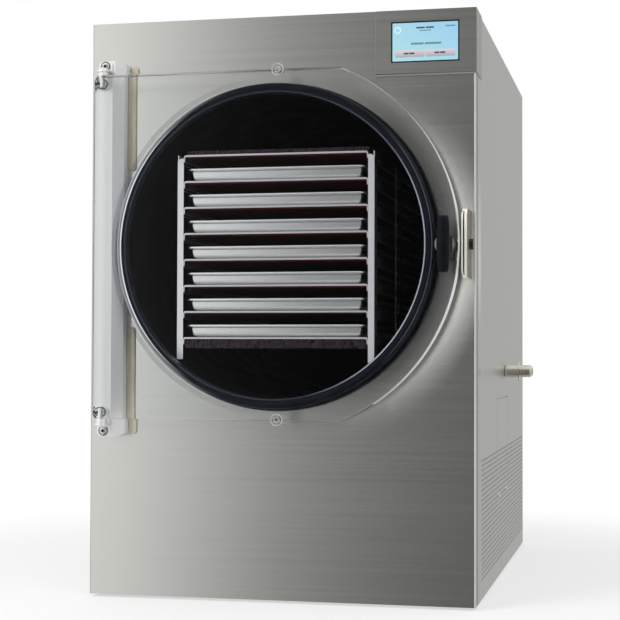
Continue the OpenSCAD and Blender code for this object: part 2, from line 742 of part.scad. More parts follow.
module hinge_screws() placed() color(bright_steel) top_and_bottom() for (z = bracket_screw_zs)
    translate([leg_x, bracket_y, z]) rotate([90, 0, 0]) {
        cylinder(d = 15, h = washer_t);
        translate([0, 0, washer_t]) intersection() {
            cylinder(d = 9.5, h = 2.2);
            translate([0, 0, 2.2 - 8]) sphere(8);
        }
        translate([0, 0, -tongue_t]) cylinder(r = screw_r, h = tongue_t);
    }

// ---- Latch ----

hub_d = 26;
hub_t = 3;
grip_y = door_y0 - grip_out;
neck_d = 13;

// A turned barrel with round ends, held across the shaft.
module latch_grip() placed() color(black_plastic) translate([latch_x, grip_y, latch_z - grip_l / 2])
    difference() {
        rotate_extrude() polygon(concat([[0, 0], [grip_end_d / 2 - 1.5, 0], [grip_end_d / 2, 1.5]],
            [for (k = [0.1 : 0.1 : 0.91]) [grip_end_d / 2 + (grip_d - grip_end_d) / 2 * (1 - pow(2 * k - 1, 2)),
                1.5 + k * (grip_l - 3)]],
            [[grip_end_d / 2, grip_l - 1.5], [grip_end_d / 2 - 1.5, grip_l], [0, grip_l]]));
        translate([0, 0, grip_l / 2]) rotate([-90, 0, 0]) cylinder(r = latch_tenon_r, h = grip_d);
    }

latch_tenon_r = 4;
latch_back = cam_y + cam_t;

module latch_shaft() placed() color(bright_steel) {
    rod_y(latch_x, [grip_y, door_y0 - grip_d / 2 + 1], latch_z, latch_tenon_r);
    difference() {
        rod_y(latch_x, [door_y0 - hub_t - 4, door_y0 - hub_t], latch_z, neck_d / 2);
        rod_z(latch_x, grip_y, shift(latch_z, [-20, 20]), grip_d / 2 + 0.02);
    }
    rod_y(latch_x, [door_y0 - hub_t, door_y0 - gap], latch_z, hub_d / 2);
    rod_y(latch_x, [door_y0 - gap, cam_y], latch_z, latch_shaft_d / 2);
    rod_y(latch_x, [cam_y, latch_back + 3], latch_z, latch_tenon_r);
}

// Cam whose nose hangs down when free and turns towards the strike.
module latch_cam() placed() color(steel) translate([latch_x, cam_y, latch_z]) rotate([-90, 0, 0]) difference() {
    union() {
        cylinder(r = 9, h = cam_t);
        translate([-5, 0, 0]) cube([10, nose_r - 5, cam_t]);
        translate([0, nose_r - 5, 0]) cylinder(r = 5, h = cam_t);
    }
    translate([0, 0, -1]) cylinder(r = latch_tenon_r, h = cam_t + 2);
}

module latch_nut() placed() color(bright_steel) difference() {
    translate([latch_x, latch_back, latch_z]) rotate([-90, 30, 0]) cylinder(r = 7.5, h = 3, $fn = 6);
    rod_y(latch_x, [latch_back - 1, latch_back + 5], latch_z, latch_tenon_r);
}

strike_r = 10;

module strike_wall(x, h) translate([x, 0, strike_z]) rotate([90, 0, 90]) linear_extrude(strike_t) union() {
    translate([-strike_out + strike_r, -h / 2]) square([strike_out - strike_r, h]);
    translate([-strike_out, -h / 2 + strike_r]) square([strike_r, h - 2 * strike_r]);
    for (s = [-1, 1]) translate([-strike_out + strike_r, s * (h / 2 - strike_r)]) circle(strike_r);
}

module strike() placed() color(bright_steel) difference() {
    union() {
        strike_wall(strike_x + strike_w - strike_t, strike_h);
        strike_wall(strike_x, strike_h - 8);
        block([strike_x, strike_x + strike_w], [-3, 0], around(strike_z, strike_h / 2 - 4));
    }
    rod_x([strike_x - 1, strike_x + strike_w + 1], strike_bolt_y, strike_z, strike_bolt_d / 2);
}

module strike_bolt() placed() color(dark_steel) {
    rod_x([strike_x - 7.5, strike_x + strike_w], strike_bolt_y, strike_z, strike_bolt_d / 2);
    translate([strike_x + strike_w, strike_bolt_y, strike_z]) rotate([0, 90, 0]) cylinder(d = 14, h = 5, $fn = 6);
}

// ---- Refrigeration ----

module compressor() placed() color(black_plastic) translate([compressor_x, compressor_y, compressor_z]) {
    shell = compressor_r - 6;
    rotate_extrude() polygon(concat([[0, 0], [shell * 0.55, 0], [shell * 0.85, 8], [shell, 26], [shell, 84],
        [compressor_r, 84], [compressor_r, 92], [shell, 92]],
        [for (a = [0 : 15 : 90]) [shell * cos(a), compressor_h - 48 + 48 * sin(a)]]));
    // Feet plate with four ears, and the terminal box on the shell's side.
    difference() {
        union() {
            translate([-68, -52, -4]) cube([136, 104, 4]);
            for (x = [-62, 62], y = [-46, 46]) translate([x, y, -4]) cylinder(r = 14, h = 4);
        }
        for (x = [-62, 62], y = [-46, 46]) translate([x, y, -5]) cylinder(r = 6.1, h = 6);
    }
    translate([-24, -shell - 22, 40]) cube([48, 26, 40]);
}

module compressor_mounts() placed() color(black_rubber)
    for (x = [-62, 62], y = [-46, 46]) translate([compressor_x + x, compressor_y + y, 0])
        rotate_extrude() polygon([[0, sheet], [13, sheet], [11, compressor_z - 4], [6, compressor_z - 4],
            [6, compressor_z], [10, compressor_z], [8, compressor_z + 5], [0, compressor_z + 5]]);

row_step = 28;
tube_rows = [for (i = [0 : 5]) condenser_z[0] + 18 + i * row_step];
tube_x = (condenser_x[0] + condenser_x[1]) / 2;
fin_step = (condenser_y[1] - condenser_y[0] - 4) / (fin_count + 1);
tube_r = 4.8;

module fin_plate(y, t) translate([0, y + t, 0]) rotate([90, 0, 0]) linear_extrude(t) difference() {
    translate([condenser_x[0], condenser_z[0]])
        square([condenser_x[1] - condenser_x[0], condenser_z[1] - condenser_z[0]]);
    for (z = tube_rows) translate([tube_x, z]) circle(tube_r + 0.1);
}

module condenser() placed() {
    color([0.80, 0.82, 0.84]) {
        for (i = [1 : fin_count]) fin_plate(condenser_y[0] + 2 + i * fin_step, 0.8);
        for (y = [condenser_y[0], condenser_y[1] - 2]) fin_plate(y, 2);
        for (y = [condenser_y[0] + 2, condenser_y[1] - 24])
            block([condenser_x[0] + 6, condenser_x[1] - 6], [y, y + 20], [sheet, condenser_z[0]]);
    }
    color(copper) {
        for (z = tube_rows) rod_y(tube_x, [condenser_y[0] - 4, condenser_y[1] + 4], z, tube_r);
        for (k = [0 : len(tube_rows) - 2]) translate([tube_x, 0, tube_rows[k] + row_step / 2])
            if (k % 2 == 0) translate([0, condenser_y[0] - 4, 0]) rotate([180, 90, 0]) return_bend();
            else translate([0, condenser_y[1] + 4, 0]) rotate([0, 90, 0]) return_bend();
    }
}

// Half a ring of tube that joins two neighbouring rows.
module return_bend() rotate_extrude(angle = 180) translate([row_step / 2, 0]) circle(tube_r, $fn = 32);

shroud_ring_r = fan_d / 2 + 5;

module fan_shroud() placed() color(black_plastic) {
    difference() {
        block([shroud_x[1] - 2, shroud_x[1]], condenser_y, condenser_z);
        rod_x([shroud_x[1] - 3, shroud_x[1] + 1], fan_y, fan_z, shroud_ring_r);
    }
    difference() {
        rod_x([shroud_x[0], shroud_x[1] - 2], fan_y, fan_z, shroud_ring_r + 2);
        rod_x([shroud_x[0] - 1, shroud_x[1]], fan_y, fan_z, shroud_ring_r);
    }
    // Three arms that carry the motor in front of the ring.
    for (a = [90, 210, 330]) translate([0, fan_y, fan_z]) rotate([a, 0, 0]) {
        block([motor_x[1] - 4, shroud_x[0]], [-6, 6], [shroud_ring_r - 1, shroud_ring_r + 2]);
        block([motor_x[1] - 4, motor_x[1]], [-6, 6], [motor_r, shroud_ring_r - 1]);
    }
}

motor_r = 38;

module fan_motor() placed() color(dark_steel) difference() {
    union() {
        rod_x(motor_x, fan_y, fan_z, motor_r);
        rod_x([motor_x[1], motor_x[1] + 8], fan_y, fan_z, 14);
    }
    rod_x([motor_x[0] + 10, motor_x[1] + 9], fan_y, fan_z, fan_shaft_d / 2 + running);
}

hub_x = [condenser_x[0] - 38, condenser_x[0] - 18];

module fan_shaft() placed() color(bright_steel)
    rod_x([motor_x[0] + 14, hub_x[1] + 4], fan_y, fan_z, fan_shaft_d / 2);

// Blades pitched across the hub and trimmed to the fan's circle.
module fan_rotor() placed() color([0.55, 0.57, 0.58]) difference() {
    union() {
        rod_x(hub_x, fan_y, fan_z, 19);
        intersection() {
            rod_x(hub_x, fan_y, fan_z, fan_d / 2);
            for (i = [0 : fan_blades - 1]) translate([0, fan_y, fan_z]) rotate([i * 360 / fan_blades, 0, 0])
                translate([(hub_x[0] + hub_x[1]) / 2, 0, fan_d / 4 + 4]) rotate([0, 0, 32])
                    cube([1.6, 46, fan_d / 2 - 8], center = true);
        }
    }
    rod_x([hub_x[0] - 1, hub_x[1] + 1], fan_y, fan_z, fan_shaft_d / 2);
}

drier_p = [30, 640, 24];

module filter_drier() placed() color(copper) translate(drier_p) rotate_extrude() polygon([[0, 0], [5, 0], [5, 8],
    [14, 20], [14, 96], [5, 108], [5, 116], [0, 116]]);

line_r = 4;

// A brazed tube run through square corners, each corner a ball of solder.
module tube_run(points) {
    for (i = [0 : len(points) - 2]) {
        v = points[i + 1] - points[i];
        translate(points[i]) rotate([0, acos(v[2] / norm(v)), atan2(v[1], v[0])]) cylinder(r = line_r, h = norm(v));
    }
    for (i = [1 : len(points) - 2]) translate(points[i]) sphere(line_r + 0.6);
}

module refrigerant_lines() placed() color(copper) {
    // Hot gas from the compressor to the condenser's top row.
    tube_run([[compressor_x + compressor_r - 6, compressor_y, 140], [20, compressor_y, 140], [20, 480, 140],
        [shroud_x[0], 480, 140], [shroud_x[0], 480, tube_rows[5]], [tube_x, 480, tube_rows[5]],
        [tube_x, condenser_y[1] + 4, tube_rows[5]]]);
    // Liquid from the condenser's bottom row to the filter drier.
    tube_run([[tube_x, condenser_y[1] + 4, tube_rows[0]], [tube_x, 640, tube_rows[0]],
        [60, 640, tube_rows[0]], [60, 640, 12], [drier_p[0], 640, 12], [drier_p[0], 640, drier_p[2]]]);
}

board_z = 14;

module control_board() placed() {
    color([0.10, 0.32, 0.20]) block([-200, -20], [16, 92], shift(board_z, [0, 1.6]));
    color(black_plastic) {
        block([-190, -140], [22, 60], shift(board_z, [1.6, 38]));
        for (i = [0 : 3]) block([-130 + i * 26, -112 + i * 26], [24, 44], shift(board_z, [1.6, 18]));
        for (i = [0 : 2]) rod_z(-120 + i * 30, 70, shift(board_z, [1.6, 30]), 9);
    }
    color(brass) for (x = [-192, -28], y = [24, 84]) rod_z(x, y, [sheet, board_z], 3);
}

// ---- Vacuum and drain ----

module vacuum_line() placed() color(bright_steel) difference() {
    rod_x([shell_r / 3, half_w], fitting_y, fitting_z, vacuum_line_r);
    rod_x([0, half_w + 1], fitting_y, fitting_z, vacuum_line_r - 2.5);
    rod_y(chamber_x, around(fitting_y, 30), chamber_z, shell_r + 0.1);
}

module vacuum_fitting() placed() color(brass) translate([half_w, fitting_y, fitting_z]) rotate([0, 90, 0])
    rotate_extrude() polygon([[vacuum_line_r - 2.5, 0], [fitting_d / 2 - 2, 0], [fitting_d / 2, 4],
        [fitting_d / 2, side_reach * 0.5], [fitting_d / 2 + 5.5, side_reach * 0.5],
        [fitting_d / 2 + 5.5, side_reach * 0.5 + 1.4], [fitting_d / 2 - 0.5, side_reach * 0.5 + 1.4],
        [fitting_d / 2 - 0.5, side_reach - 4], [fitting_d / 2 - 3, side_reach], [vacuum_line_r - 2.5, side_reach]]);

module drain_line() placed() color([0.88, 0.90, 0.88]) difference() {
    union() {
        rod_z(chamber_x, drain_y, [drain_z, chamber_z - shell_r + 1], drain_r);
        rod_x([-half_w, chamber_x], drain_y, drain_z, drain_r);
        translate([chamber_x, drain_y, drain_z]) sphere(drain_r + 0.8);
    }
    rod_y(chamber_x, around(drain_y, 20), chamber_z, shell_r + 0.1);
}

valve_r = 11;
spigot_r = 6;
stem_x = -half_w - 17;

module drain_valve() placed() color(brass) {
    rod_x([-half_w - 6, -half_w], drain_y, drain_z, 14);
    translate([-half_w - 28, drain_y, drain_z]) rotate([0, 90, 0]) cylinder(r = valve_r + 1.5, h = 22, $fn = 6);
    rod_x([-half_w - side_reach, -half_w - 28], drain_y, drain_z, spigot_r);
    rod_z(stem_x, drain_y, shift(drain_z, [0, valve_r + 6]), 4);
}

lever_z = drain_z + valve_r + 2.5;

// Lever that lies along the cabinet's side when the valve is shut.
module drain_lever() placed() color([0.75, 0.12, 0.10]) difference() {
    union() {
        rod_z(stem_x, drain_y, shift(lever_z, [0, 3]), 8);
        block(shift(stem_x, [-5, 5]), [drain_y, drain_y + lever_l - 5], shift(lever_z, [0, 3]));
        rod_z(stem_x, drain_y + lever_l - 5, shift(lever_z, [0, 3]), 5);
    }
    rod_z(stem_x, drain_y, shift(lever_z, [-1, 4]), 4 + running);
}

// ---- Rear fittings ----

module power_inlet() placed() color(black_plastic) {
    difference() {
        union() {
            block(around(inlet_x, 20), [cabinet_d, cabinet_d + 3], around(inlet_z, 14));
            block(around(inlet_x, 14), [cabinet_d - 22, cabinet_d], around(inlet_z, 10));
        }
        block(around(inlet_x, 12), [cabinet_d - 17, cabinet_d + 4], around(inlet_z, 8));
    }
    color(bright_steel) {
        for (s = [-1, 1])
            block(around(inlet_x + s * 7, 1), [cabinet_d - 17, cabinet_d - 5], around(inlet_z - 3, 2.5));
        block(shift(inlet_x, [-1, 1]), [cabinet_d - 17, cabinet_d - 5], shift(inlet_z + 3.5, [-2.5, 2.5]));
    }
}

rocker_r = 8.5;
rocker_half = 6.5;
rocker_y = cabinet_d - 1;

module switch_housing() placed() color(black_plastic) difference() {
    union() {
        block(around(switch_x, 12), [cabinet_d, cabinet_d + 2], around(inlet_z, 15.5));
        block(around(switch_x, 9.5), [cabinet_d - 18, cabinet_d], around(inlet_z, 13));
    }
    block(around(switch_x, rocker_half + gap), [cabinet_d - 13, cabinet_d + 3], around(inlet_z, rocker_r + 1.6));
    rod_x(around(switch_x, 8.6), rocker_y, inlet_z, 1.5 + running);
}

rocker_tilt = 11;

// Rocker with a shallow V face, resting with its upper half pressed in.
module switch_rocker() placed() color([0.16, 0.16, 0.17]) translate([switch_x, rocker_y, inlet_z]) {
    rotate([rocker_tilt, 0, 0]) intersection() {
        rotate([0, 90, 0]) cylinder(r = rocker_r + 1, h = 2 * rocker_half, center = true);
        rotate([90, 0, 90]) linear_extrude(2 * rocker_half, center = true)
            polygon([[-4, -5], [-4, 5], [4.5, 10], [3.2, 0], [4.5, -10]]);
    }
    rod_x(around(0, 8.5), 0, 0, 1.5);
}

module pump_outlet() placed() color(black_plastic) difference() {
    block(around(pump_x, 22), [cabinet_d, cabinet_d + rear_reach], around(inlet_z, 22));
    for (s = [-1, 1]) block(around(pump_x + s * 6.4, 1.2), [cabinet_d + 1, cabinet_d + rear_reach + 1],
        around(inlet_z + 4, 4.5));
    rod_y(pump_x, [cabinet_d + 1, cabinet_d + rear_reach + 1], inlet_z - 8, 2.6);
}

base_pan();
feet();
front_panel();
left_side_panel();
right_side_panel();
top_cover();
rear_panel();
service_cover();
cabinet_screws();
control_panel();
touch_screen();
screen_module();
vacuum_chamber();
door_gasket();
evaporator_coil();
foam_jacket();
chamber_cradles();
rack_left_side();
rack_right_side();
shelves();
heater_mats();
for (i = [1 : tray_count]) tray(i);
door();
door_bumpers();
hinge_channel();
hinge_brackets();
hinge_pins();
hinge_spacers();
hinge_screws();
latch_grip();
latch_shaft();
latch_cam();
latch_nut();
strike();
strike_bolt();
compressor();
compressor_mounts();
condenser();
fan_shroud();
fan_motor();
fan_shaft();
fan_rotor();
filter_drier();
refrigerant_lines();
control_board();
vacuum_fitting();
vacuum_line();
drain_line();
drain_valve();
drain_lever();
power_inlet();
switch_housing();
switch_rocker();
pump_outlet();
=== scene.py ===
"""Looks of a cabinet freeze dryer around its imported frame. Metres, +X right, +Y back, +Z up."""
import math

import bmesh
import bpy
from mathutils import Matrix, Vector, noise
from mathutils.geometry import delaunay_2d_cdt


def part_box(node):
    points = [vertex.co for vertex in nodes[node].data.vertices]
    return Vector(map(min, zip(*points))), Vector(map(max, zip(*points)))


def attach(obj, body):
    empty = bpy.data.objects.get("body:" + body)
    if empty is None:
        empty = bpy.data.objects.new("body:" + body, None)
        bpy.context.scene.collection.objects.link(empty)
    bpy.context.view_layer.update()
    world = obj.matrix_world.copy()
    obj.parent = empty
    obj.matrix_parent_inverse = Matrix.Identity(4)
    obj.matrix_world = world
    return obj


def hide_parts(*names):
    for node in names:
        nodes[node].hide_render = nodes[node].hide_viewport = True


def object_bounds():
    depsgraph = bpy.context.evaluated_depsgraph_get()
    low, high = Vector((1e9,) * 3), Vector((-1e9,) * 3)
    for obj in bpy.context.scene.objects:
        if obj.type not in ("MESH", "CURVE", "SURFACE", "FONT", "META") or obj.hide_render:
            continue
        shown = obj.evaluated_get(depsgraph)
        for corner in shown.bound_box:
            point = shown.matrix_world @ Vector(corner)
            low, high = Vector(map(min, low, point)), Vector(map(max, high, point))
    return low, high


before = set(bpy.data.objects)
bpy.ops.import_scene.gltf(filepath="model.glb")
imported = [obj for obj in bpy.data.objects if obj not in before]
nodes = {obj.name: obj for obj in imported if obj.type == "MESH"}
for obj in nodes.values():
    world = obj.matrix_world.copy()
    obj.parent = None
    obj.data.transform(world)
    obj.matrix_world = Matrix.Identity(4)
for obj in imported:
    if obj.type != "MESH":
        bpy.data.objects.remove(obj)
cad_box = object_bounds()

scene = bpy.context.scene
scene.view_settings.view_transform = "Standard"

# ---- Places taken from the frame ----
MM = 0.001
face_lo, face_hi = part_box("front_panel")
HALF_W = face_hi.x
FACE_Y = face_lo.y
BASE_Z = face_lo.z
chamber_lo, chamber_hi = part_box("vacuum_chamber")
AXIS_X = (chamber_lo.x + chamber_hi.x) / 2
AXIS_Z = (chamber_lo.z + chamber_hi.z) / 2


def cab(x, y, z):
    """A point given in millimetres from the cabinet's middle, its front face and its lower edge."""
    return Vector((x * MM, FACE_Y + y * MM, BASE_Z + z * MM))


def linear(*rgb):
    """Screen colour values of 0 to 255 as the linear colour that nodes take."""
    out = []
    for v in rgb:
        c = v / 255
        out.append(c / 12.92 if c <= 0.04045 else ((c + 0.055) / 1.055) ** 2.4)
    return tuple(out)


# ---- Node helpers ----


class Graph:
    """Shorthand for building one node tree."""

    def __init__(self, tree):
        self.nodes = tree.nodes
        self.links = tree.links

    def add(self, kind, **settings):
        node = self.nodes.new(kind)
        for key, value in settings.items():
            setattr(node, key, value)
        return node

    def put(self, socket, value):
        """Links a node's output to a socket, or sets a plain value on it."""
        if isinstance(value, bpy.types.NodeSocket):
            self.links.new(value, socket)
        else:
            socket.default_value = value

    def math(self, operation, *values, clamp=False):
        node = self.add("ShaderNodeMath", operation=operation, use_clamp=clamp)
        for i, value in enumerate(values):
            self.put(node.inputs[i], value)
        return node.outputs[0]

    def ramp(self, value, low, high, to_low=0.0, to_high=1.0, smooth=False):
        node = self.add("ShaderNodeMapRange", clamp=True)
        if smooth:
            node.interpolation_type = "SMOOTHSTEP"
        for i, v in enumerate((value, low, high, to_low, to_high)):
            self.put(node.inputs[i], v)
        return node.outputs[0]

    def mix(self, factor, a, b):
        node = self.add("ShaderNodeMix", data_type="RGBA")
        self.put(node.inputs[0], factor)
        for socket, v in ((node.inputs[6], a), (node.inputs[7], b)):
            self.put(socket, v if isinstance(v, bpy.types.NodeSocket) else (*v, 1.0))
        return node.outputs[2]

    def blend(self, factor, a, b):
        """A mix of two numbers."""
        node = self.add("ShaderNodeMix", data_type="FLOAT")
        for i, v in ((0, factor), (2, a), (3, b)):
            self.put(node.inputs[i], v)
        return node.outputs[0]

    def times(self, *values):
        product = values[0]
        for value in values[1:]:
            product = self.math("MULTIPLY", product, value)
        return product

    def length(self, a, b):
        return self.math("SQRT", self.math("ADD", self.times(a, a), self.times(b, b)))

    def band(self, value, start, full, fall, end, smooth=False):
        """1 from full to fall, and 0 before start and after end."""
        return self.times(self.ramp(value, start, full, smooth=smooth),
                          self.ramp(value, fall, end, 1.0, 0.0, smooth=smooth))

    def spread(self, grain, *levels):
        """The middle of a noise's range, stretched to 0 and 1 or to two levels."""
        return self.ramp(grain, 0.3, 0.7, *levels)

    def place(self):
        return self.add("ShaderNodeTexCoord").outputs["Object"]

    def about_axis(self):
        """How far a point is right of the chamber's axis, above it, and from it, in metres."""
        x, _, z = self.split(self.place())
        dx, dz = self.math("SUBTRACT", x, AXIS_X), self.math("SUBTRACT", z, AXIS_Z)
        return dx, dz, self.length(dx, dz)

    def split(self, vector):
        node = self.add("ShaderNodeSeparateXYZ")
        self.links.new(vector, node.inputs[0])
        return node.outputs

    def noise(self, scale, detail=3.0, offset=(0.0, 0.0, 0.0)):
        """Noise in cycles per metre, with one scale or one for each axis."""
        mapping = self.add("ShaderNodeMapping")
        self.links.new(self.place(), mapping.inputs[0])
        mapping.inputs["Scale"].default_value = scale if isinstance(scale, tuple) else (scale,) * 3
        mapping.inputs["Location"].default_value = offset
        node = self.add("ShaderNodeTexNoise")
        self.links.new(mapping.outputs[0], node.inputs["Vector"])
        node.inputs["Scale"].default_value = 1.0
        node.inputs["Detail"].default_value = detail
        node.inputs["Roughness"].default_value = 0.55
        return node.outputs["Fac"]


def shade(value, factor):
    return tuple(min(1.0, c * factor) for c in value)


def material(name, **sockets):
    """A new material, with plain values set on its Principled node. Returns it, its graph and the node."""
    mat = bpy.data.materials.new(name)
    mat.use_nodes = True
    graph = Graph(mat.node_tree)
    bsdf = graph.nodes["Principled BSDF"]
    for key, value in sockets.items():
        socket = bsdf.inputs[key.replace("_", " ")]
        socket.default_value = (*value, 1.0) if isinstance(value, tuple) else value
    return mat, graph, bsdf


def surface(name, colour, rough, scale=60, vary=0.08, rough_vary=0.06, bump=0.0, **sockets):
    """A plain material with uneven colour and roughness, and with bump a fine relief of that depth."""
    mat, g, bsdf = material(name, **sockets)
    grain = g.noise(scale, 4.0)
    stretched = g.spread(grain)
    g.put(bsdf.inputs["Base Color"], g.mix(stretched, shade(colour, 1 - vary), shade(colour, 1 + vary)))
    g.put(bsdf.inputs["Roughness"], g.spread(grain, max(0.0, rough - rough_vary), rough + rough_vary))
    if bump:
        relief = g.add("ShaderNodeBump")
        relief.inputs["Distance"].default_value = bump
        g.put(relief.inputs["Height"], grain)
        g.put(bsdf.inputs["Normal"], relief.outputs[0])
    return mat


# Metres from the chamber's axis.
GLOW_START, GLOW_FULL, GLOW_FALL, GLOW_END = 0.2500, 0.2540, 0.2560, 0.2960
SEAL_OUTSIDE = 0.2240
FLANGE_INSIDE = (0.2085, 0.2095)
FLANGE_GLINT = (0.2176, 0.2179, 0.2193, 0.2196)
SEAL_LIP = (0.2058, 0.2068)
SEAL_SHOULDER_GLINT = (0.2140, 0.2146, 0.2150, 0.2156)
SEAL_GLINT_LINE = (0.2104, 0.2109, 0.2123, 0.2128)
SEAL_VEIL = (0.2130, 0.2134)
SEAL_RIM = (0.2150, 0.2162)

ALONG = 5.0      # cycles per metre along a brushed grain
ACROSS = 1400.0  # cycles per metre across it
BRUSH_RELIEF = 0.00002  # metres


def brushed(name, colour, rough=0.3, vary=0.05, anisotropy=0.6, front_grain="X", metallic=1.0,
            side_tone=1.0, deep_tone=None, rim_light=False):
    """Brushed sheet metal: streaks along X or Z on faces that look forward, and upright streaks on the sides,
    whose colour is multiplied by side_tone, as painted shade. With deep_tone the colour is multiplied by that
    behind the front, as painted shade deeper in. With rim_light it carries painted light: it is paler in a
    soft band round the door's free edge, where the clear rim throws light on it, has painted shade inside
    that band, and a painted sheen that makes it paler towards the hinge side."""
    mat, g, bsdf = material(name, Metallic=metallic, Anisotropic=anisotropy)
    front = (ALONG, ACROSS, ACROSS) if front_grain == "X" else (ACROSS, ACROSS, ALONG)
    streak_front = g.noise(front, 3.0)
    broad_front = g.noise(tuple(v / 12 for v in front), 2.0, offset=(3.1, 1.7, 2.3))
    side = (ACROSS, ACROSS, ALONG)
    streak_side = g.noise(side, 3.0)
    broad_side = g.noise(tuple(v / 14 for v in side), 2.0, offset=(1.3, 4.1, 0.7))
    normal = g.split(g.add("ShaderNodeNewGeometry").outputs["Normal"])
    sideways = g.ramp(g.math("ABSOLUTE", normal[0]), 0.6, 0.8)
    fine = g.blend(sideways, streak_front, streak_side)
    broad = g.blend(sideways, broad_front, broad_side)
    grain = g.math("ADD", g.times(fine, 0.65), g.times(broad, 0.35))
    tone = g.ramp(grain, 0.34, 0.66)
    # Sideways faces take painted shade: their colour is multiplied by side_tone.
    low = g.mix(sideways, shade(colour, 1 - vary), shade(colour, (1 - vary) * side_tone))
    high = g.mix(sideways, shade(colour, 1 + vary), shade(colour, (1 + vary) * side_tone))
    colour_now = g.mix(tone, low, high)
    # Painted shade deeper in: behind the front the colour is multiplied by deep_tone.
    if deep_tone is not None:
        depth = g.ramp(g.split(g.place())[1], FACE_Y + 0.02, FACE_Y + 0.06)
        colour_now = g.mix(depth, colour_now, shade(colour, deep_tone))
    # Painted light: a glow band off the clear rim, painted shade just inside it, a painted sheen towards the
    # hinge.
    if rim_light:
        dx, dz, radius = g.about_axis()
        right = g.ramp(dx, 0.07, 0.19, smooth=True)
        lit = g.times(g.ramp(radius, GLOW_START, GLOW_FULL),
                      g.ramp(radius, GLOW_FALL, GLOW_END, 1.0, 0.0, smooth=True))
        level = g.ramp(g.math("ABSOLUTE", g.math("ADD", dz, 0.035)), 0.0, 0.225, 1.0, 0.0)
        lit = g.times(lit, level, g.ramp(dx, 0.05, 0.12))
        dim = g.times(g.ramp(radius, SEAL_OUTSIDE, GLOW_START, 0.8, 0.0, smooth=True), right)
        hinge_side_sheen = g.ramp(dx, -0.23, 0.0, 0.26, 0.0)
        colour_now = g.mix(hinge_side_sheen, colour_now, shade(colour, 1.65))
        colour_now = g.mix(dim, colour_now, shade(colour, 0.45))
        colour_now = g.mix(g.times(lit, 0.8), colour_now, (0.90, 0.90, 0.85))
        g.put(bsdf.inputs["Metallic"], g.ramp(lit, 0.0, 1.0, metallic, 0.45))
    g.put(bsdf.inputs["Base Color"], colour_now)
    g.put(bsdf.inputs["Roughness"], g.spread(grain, rough - 0.04, rough + 0.04))
    tangent = g.add("ShaderNodeCombineXYZ")
    g.put(tangent.inputs[1], sideways)
    g.put(tangent.inputs[2], g.math("SUBTRACT", 1.0, sideways))
    g.put(bsdf.inputs["Tangent"], tangent.outputs[0])
    relief = g.add("ShaderNodeBump")
    relief.inputs["Distance"].default_value = BRUSH_RELIEF
    g.put(relief.inputs["Height"], fine)
    g.put(bsdf.inputs["Normal"], relief.outputs[0])
    return mat


def dress(mat, *names):
    """Gives carried-over CAD nodes a material in place of their slot's plain one."""
    for name in names:
        for slot in nodes[name].material_slots:
            slot.material = mat


# ---- Materials ----
STEEL = (0.600, 0.602, 0.572)
front_steel = brushed("front_steel", STEEL, rough=0.22, vary=0.03, anisotropy=0.75, rim_light=True)
side_steel = brushed("side_steel", shade(STEEL, 1.08), rough=0.34, vary=0.035, front_grain="Z")
bezel_steel = brushed("bezel_steel", (0.49, 0.49, 0.465), rough=0.30, vary=0.06, front_grain="X")
back_steel = surface("back_steel", (0.50, 0.51, 0.52), 0.42, scale=45, vary=0.10, Metallic=1.0)
channel_steel = brushed("channel_steel", (0.86, 0.87, 0.865), rough=0.42, vary=0.02, front_grain="Z",
                        metallic=0.3)
polished = surface("polished", (0.86, 0.86, 0.85), 0.12, scale=300, vary=0.03, rough_vary=0.05, Metallic=1.0)
polished_satin = surface("polished_satin", (0.74, 0.75, 0.75), 0.24, scale=260, vary=0.04, Metallic=0.9)
bracket_steel = surface("bracket_steel", (0.80, 0.80, 0.79), 0.34, scale=(200, 200, 40), vary=0.05,
                        Metallic=0.4)
recess_shade = surface("recess_shade", (0.006, 0.006, 0.007), 0.5, scale=400, vary=0.2)
strike_metal = brushed("strike_metal", (0.86, 0.83, 0.74), rough=0.34, vary=0.03, front_grain="Z",
                       metallic=0.4, side_tone=0.2)
strike_bead = surface("strike_bead", (0.92, 0.89, 0.80), 0.3, scale=160, vary=0.03, Metallic=0.25)
wire_steel = surface("wire_steel", (0.42, 0.42, 0.45), 0.36, scale=(90, 90, 12), vary=0.05, Metallic=0.5)
rail_steel = surface("rail_steel", (0.26, 0.26, 0.25), 0.34, scale=(12, 90, 90), vary=0.05, Metallic=0.5)
edge_steel = surface("edge_steel", (0.62, 0.62, 0.60), 0.34, scale=(90, 90, 12), vary=0.04, Metallic=0.4)
joint_shadow_steel = surface("joint_shadow_steel", (0.36, 0.36, 0.345), 0.4, scale=(90, 90, 12), vary=0.06, Metallic=0.8)
strip_putty = surface("strip_putty", (0.52, 0.48, 0.38), 0.5, scale=(70, 70, 25), vary=0.10, bump=0.0002)
foil = surface("foil", (0.040, 0.030, 0.038), 0.30, scale=140, vary=0.3, rough_vary=0.1, bump=0.0006,
               Metallic=0.85)
display_black = surface("display_black", (0.004, 0.010, 0.014), 0.2, scale=300, vary=0.15,
                        Specular_IOR_Level=0.25)
display_ink = surface("display_ink", linear(62, 74, 84), 0.4, scale=600, vary=0.1)
display_grey = surface("display_grey", linear(104, 128, 140), 0.4, scale=600, vary=0.1)
display_white = surface("display_white", (0.8, 0.86, 0.88), 0.4, scale=600, vary=0.05)
dark_bolt = surface("dark_bolt", (0.03, 0.03, 0.035), 0.32, scale=400, Metallic=0.6)
rack_metal = brushed("rack_metal", (0.90, 0.90, 0.92), rough=0.36, vary=0.03, front_grain="Z", metallic=0.7,
                     side_tone=0.13, deep_tone=0.04)
shelf_metal = brushed("shelf_metal", (0.72, 0.71, 0.73), rough=0.36, vary=0.04, metallic=0.7, side_tone=0.12)
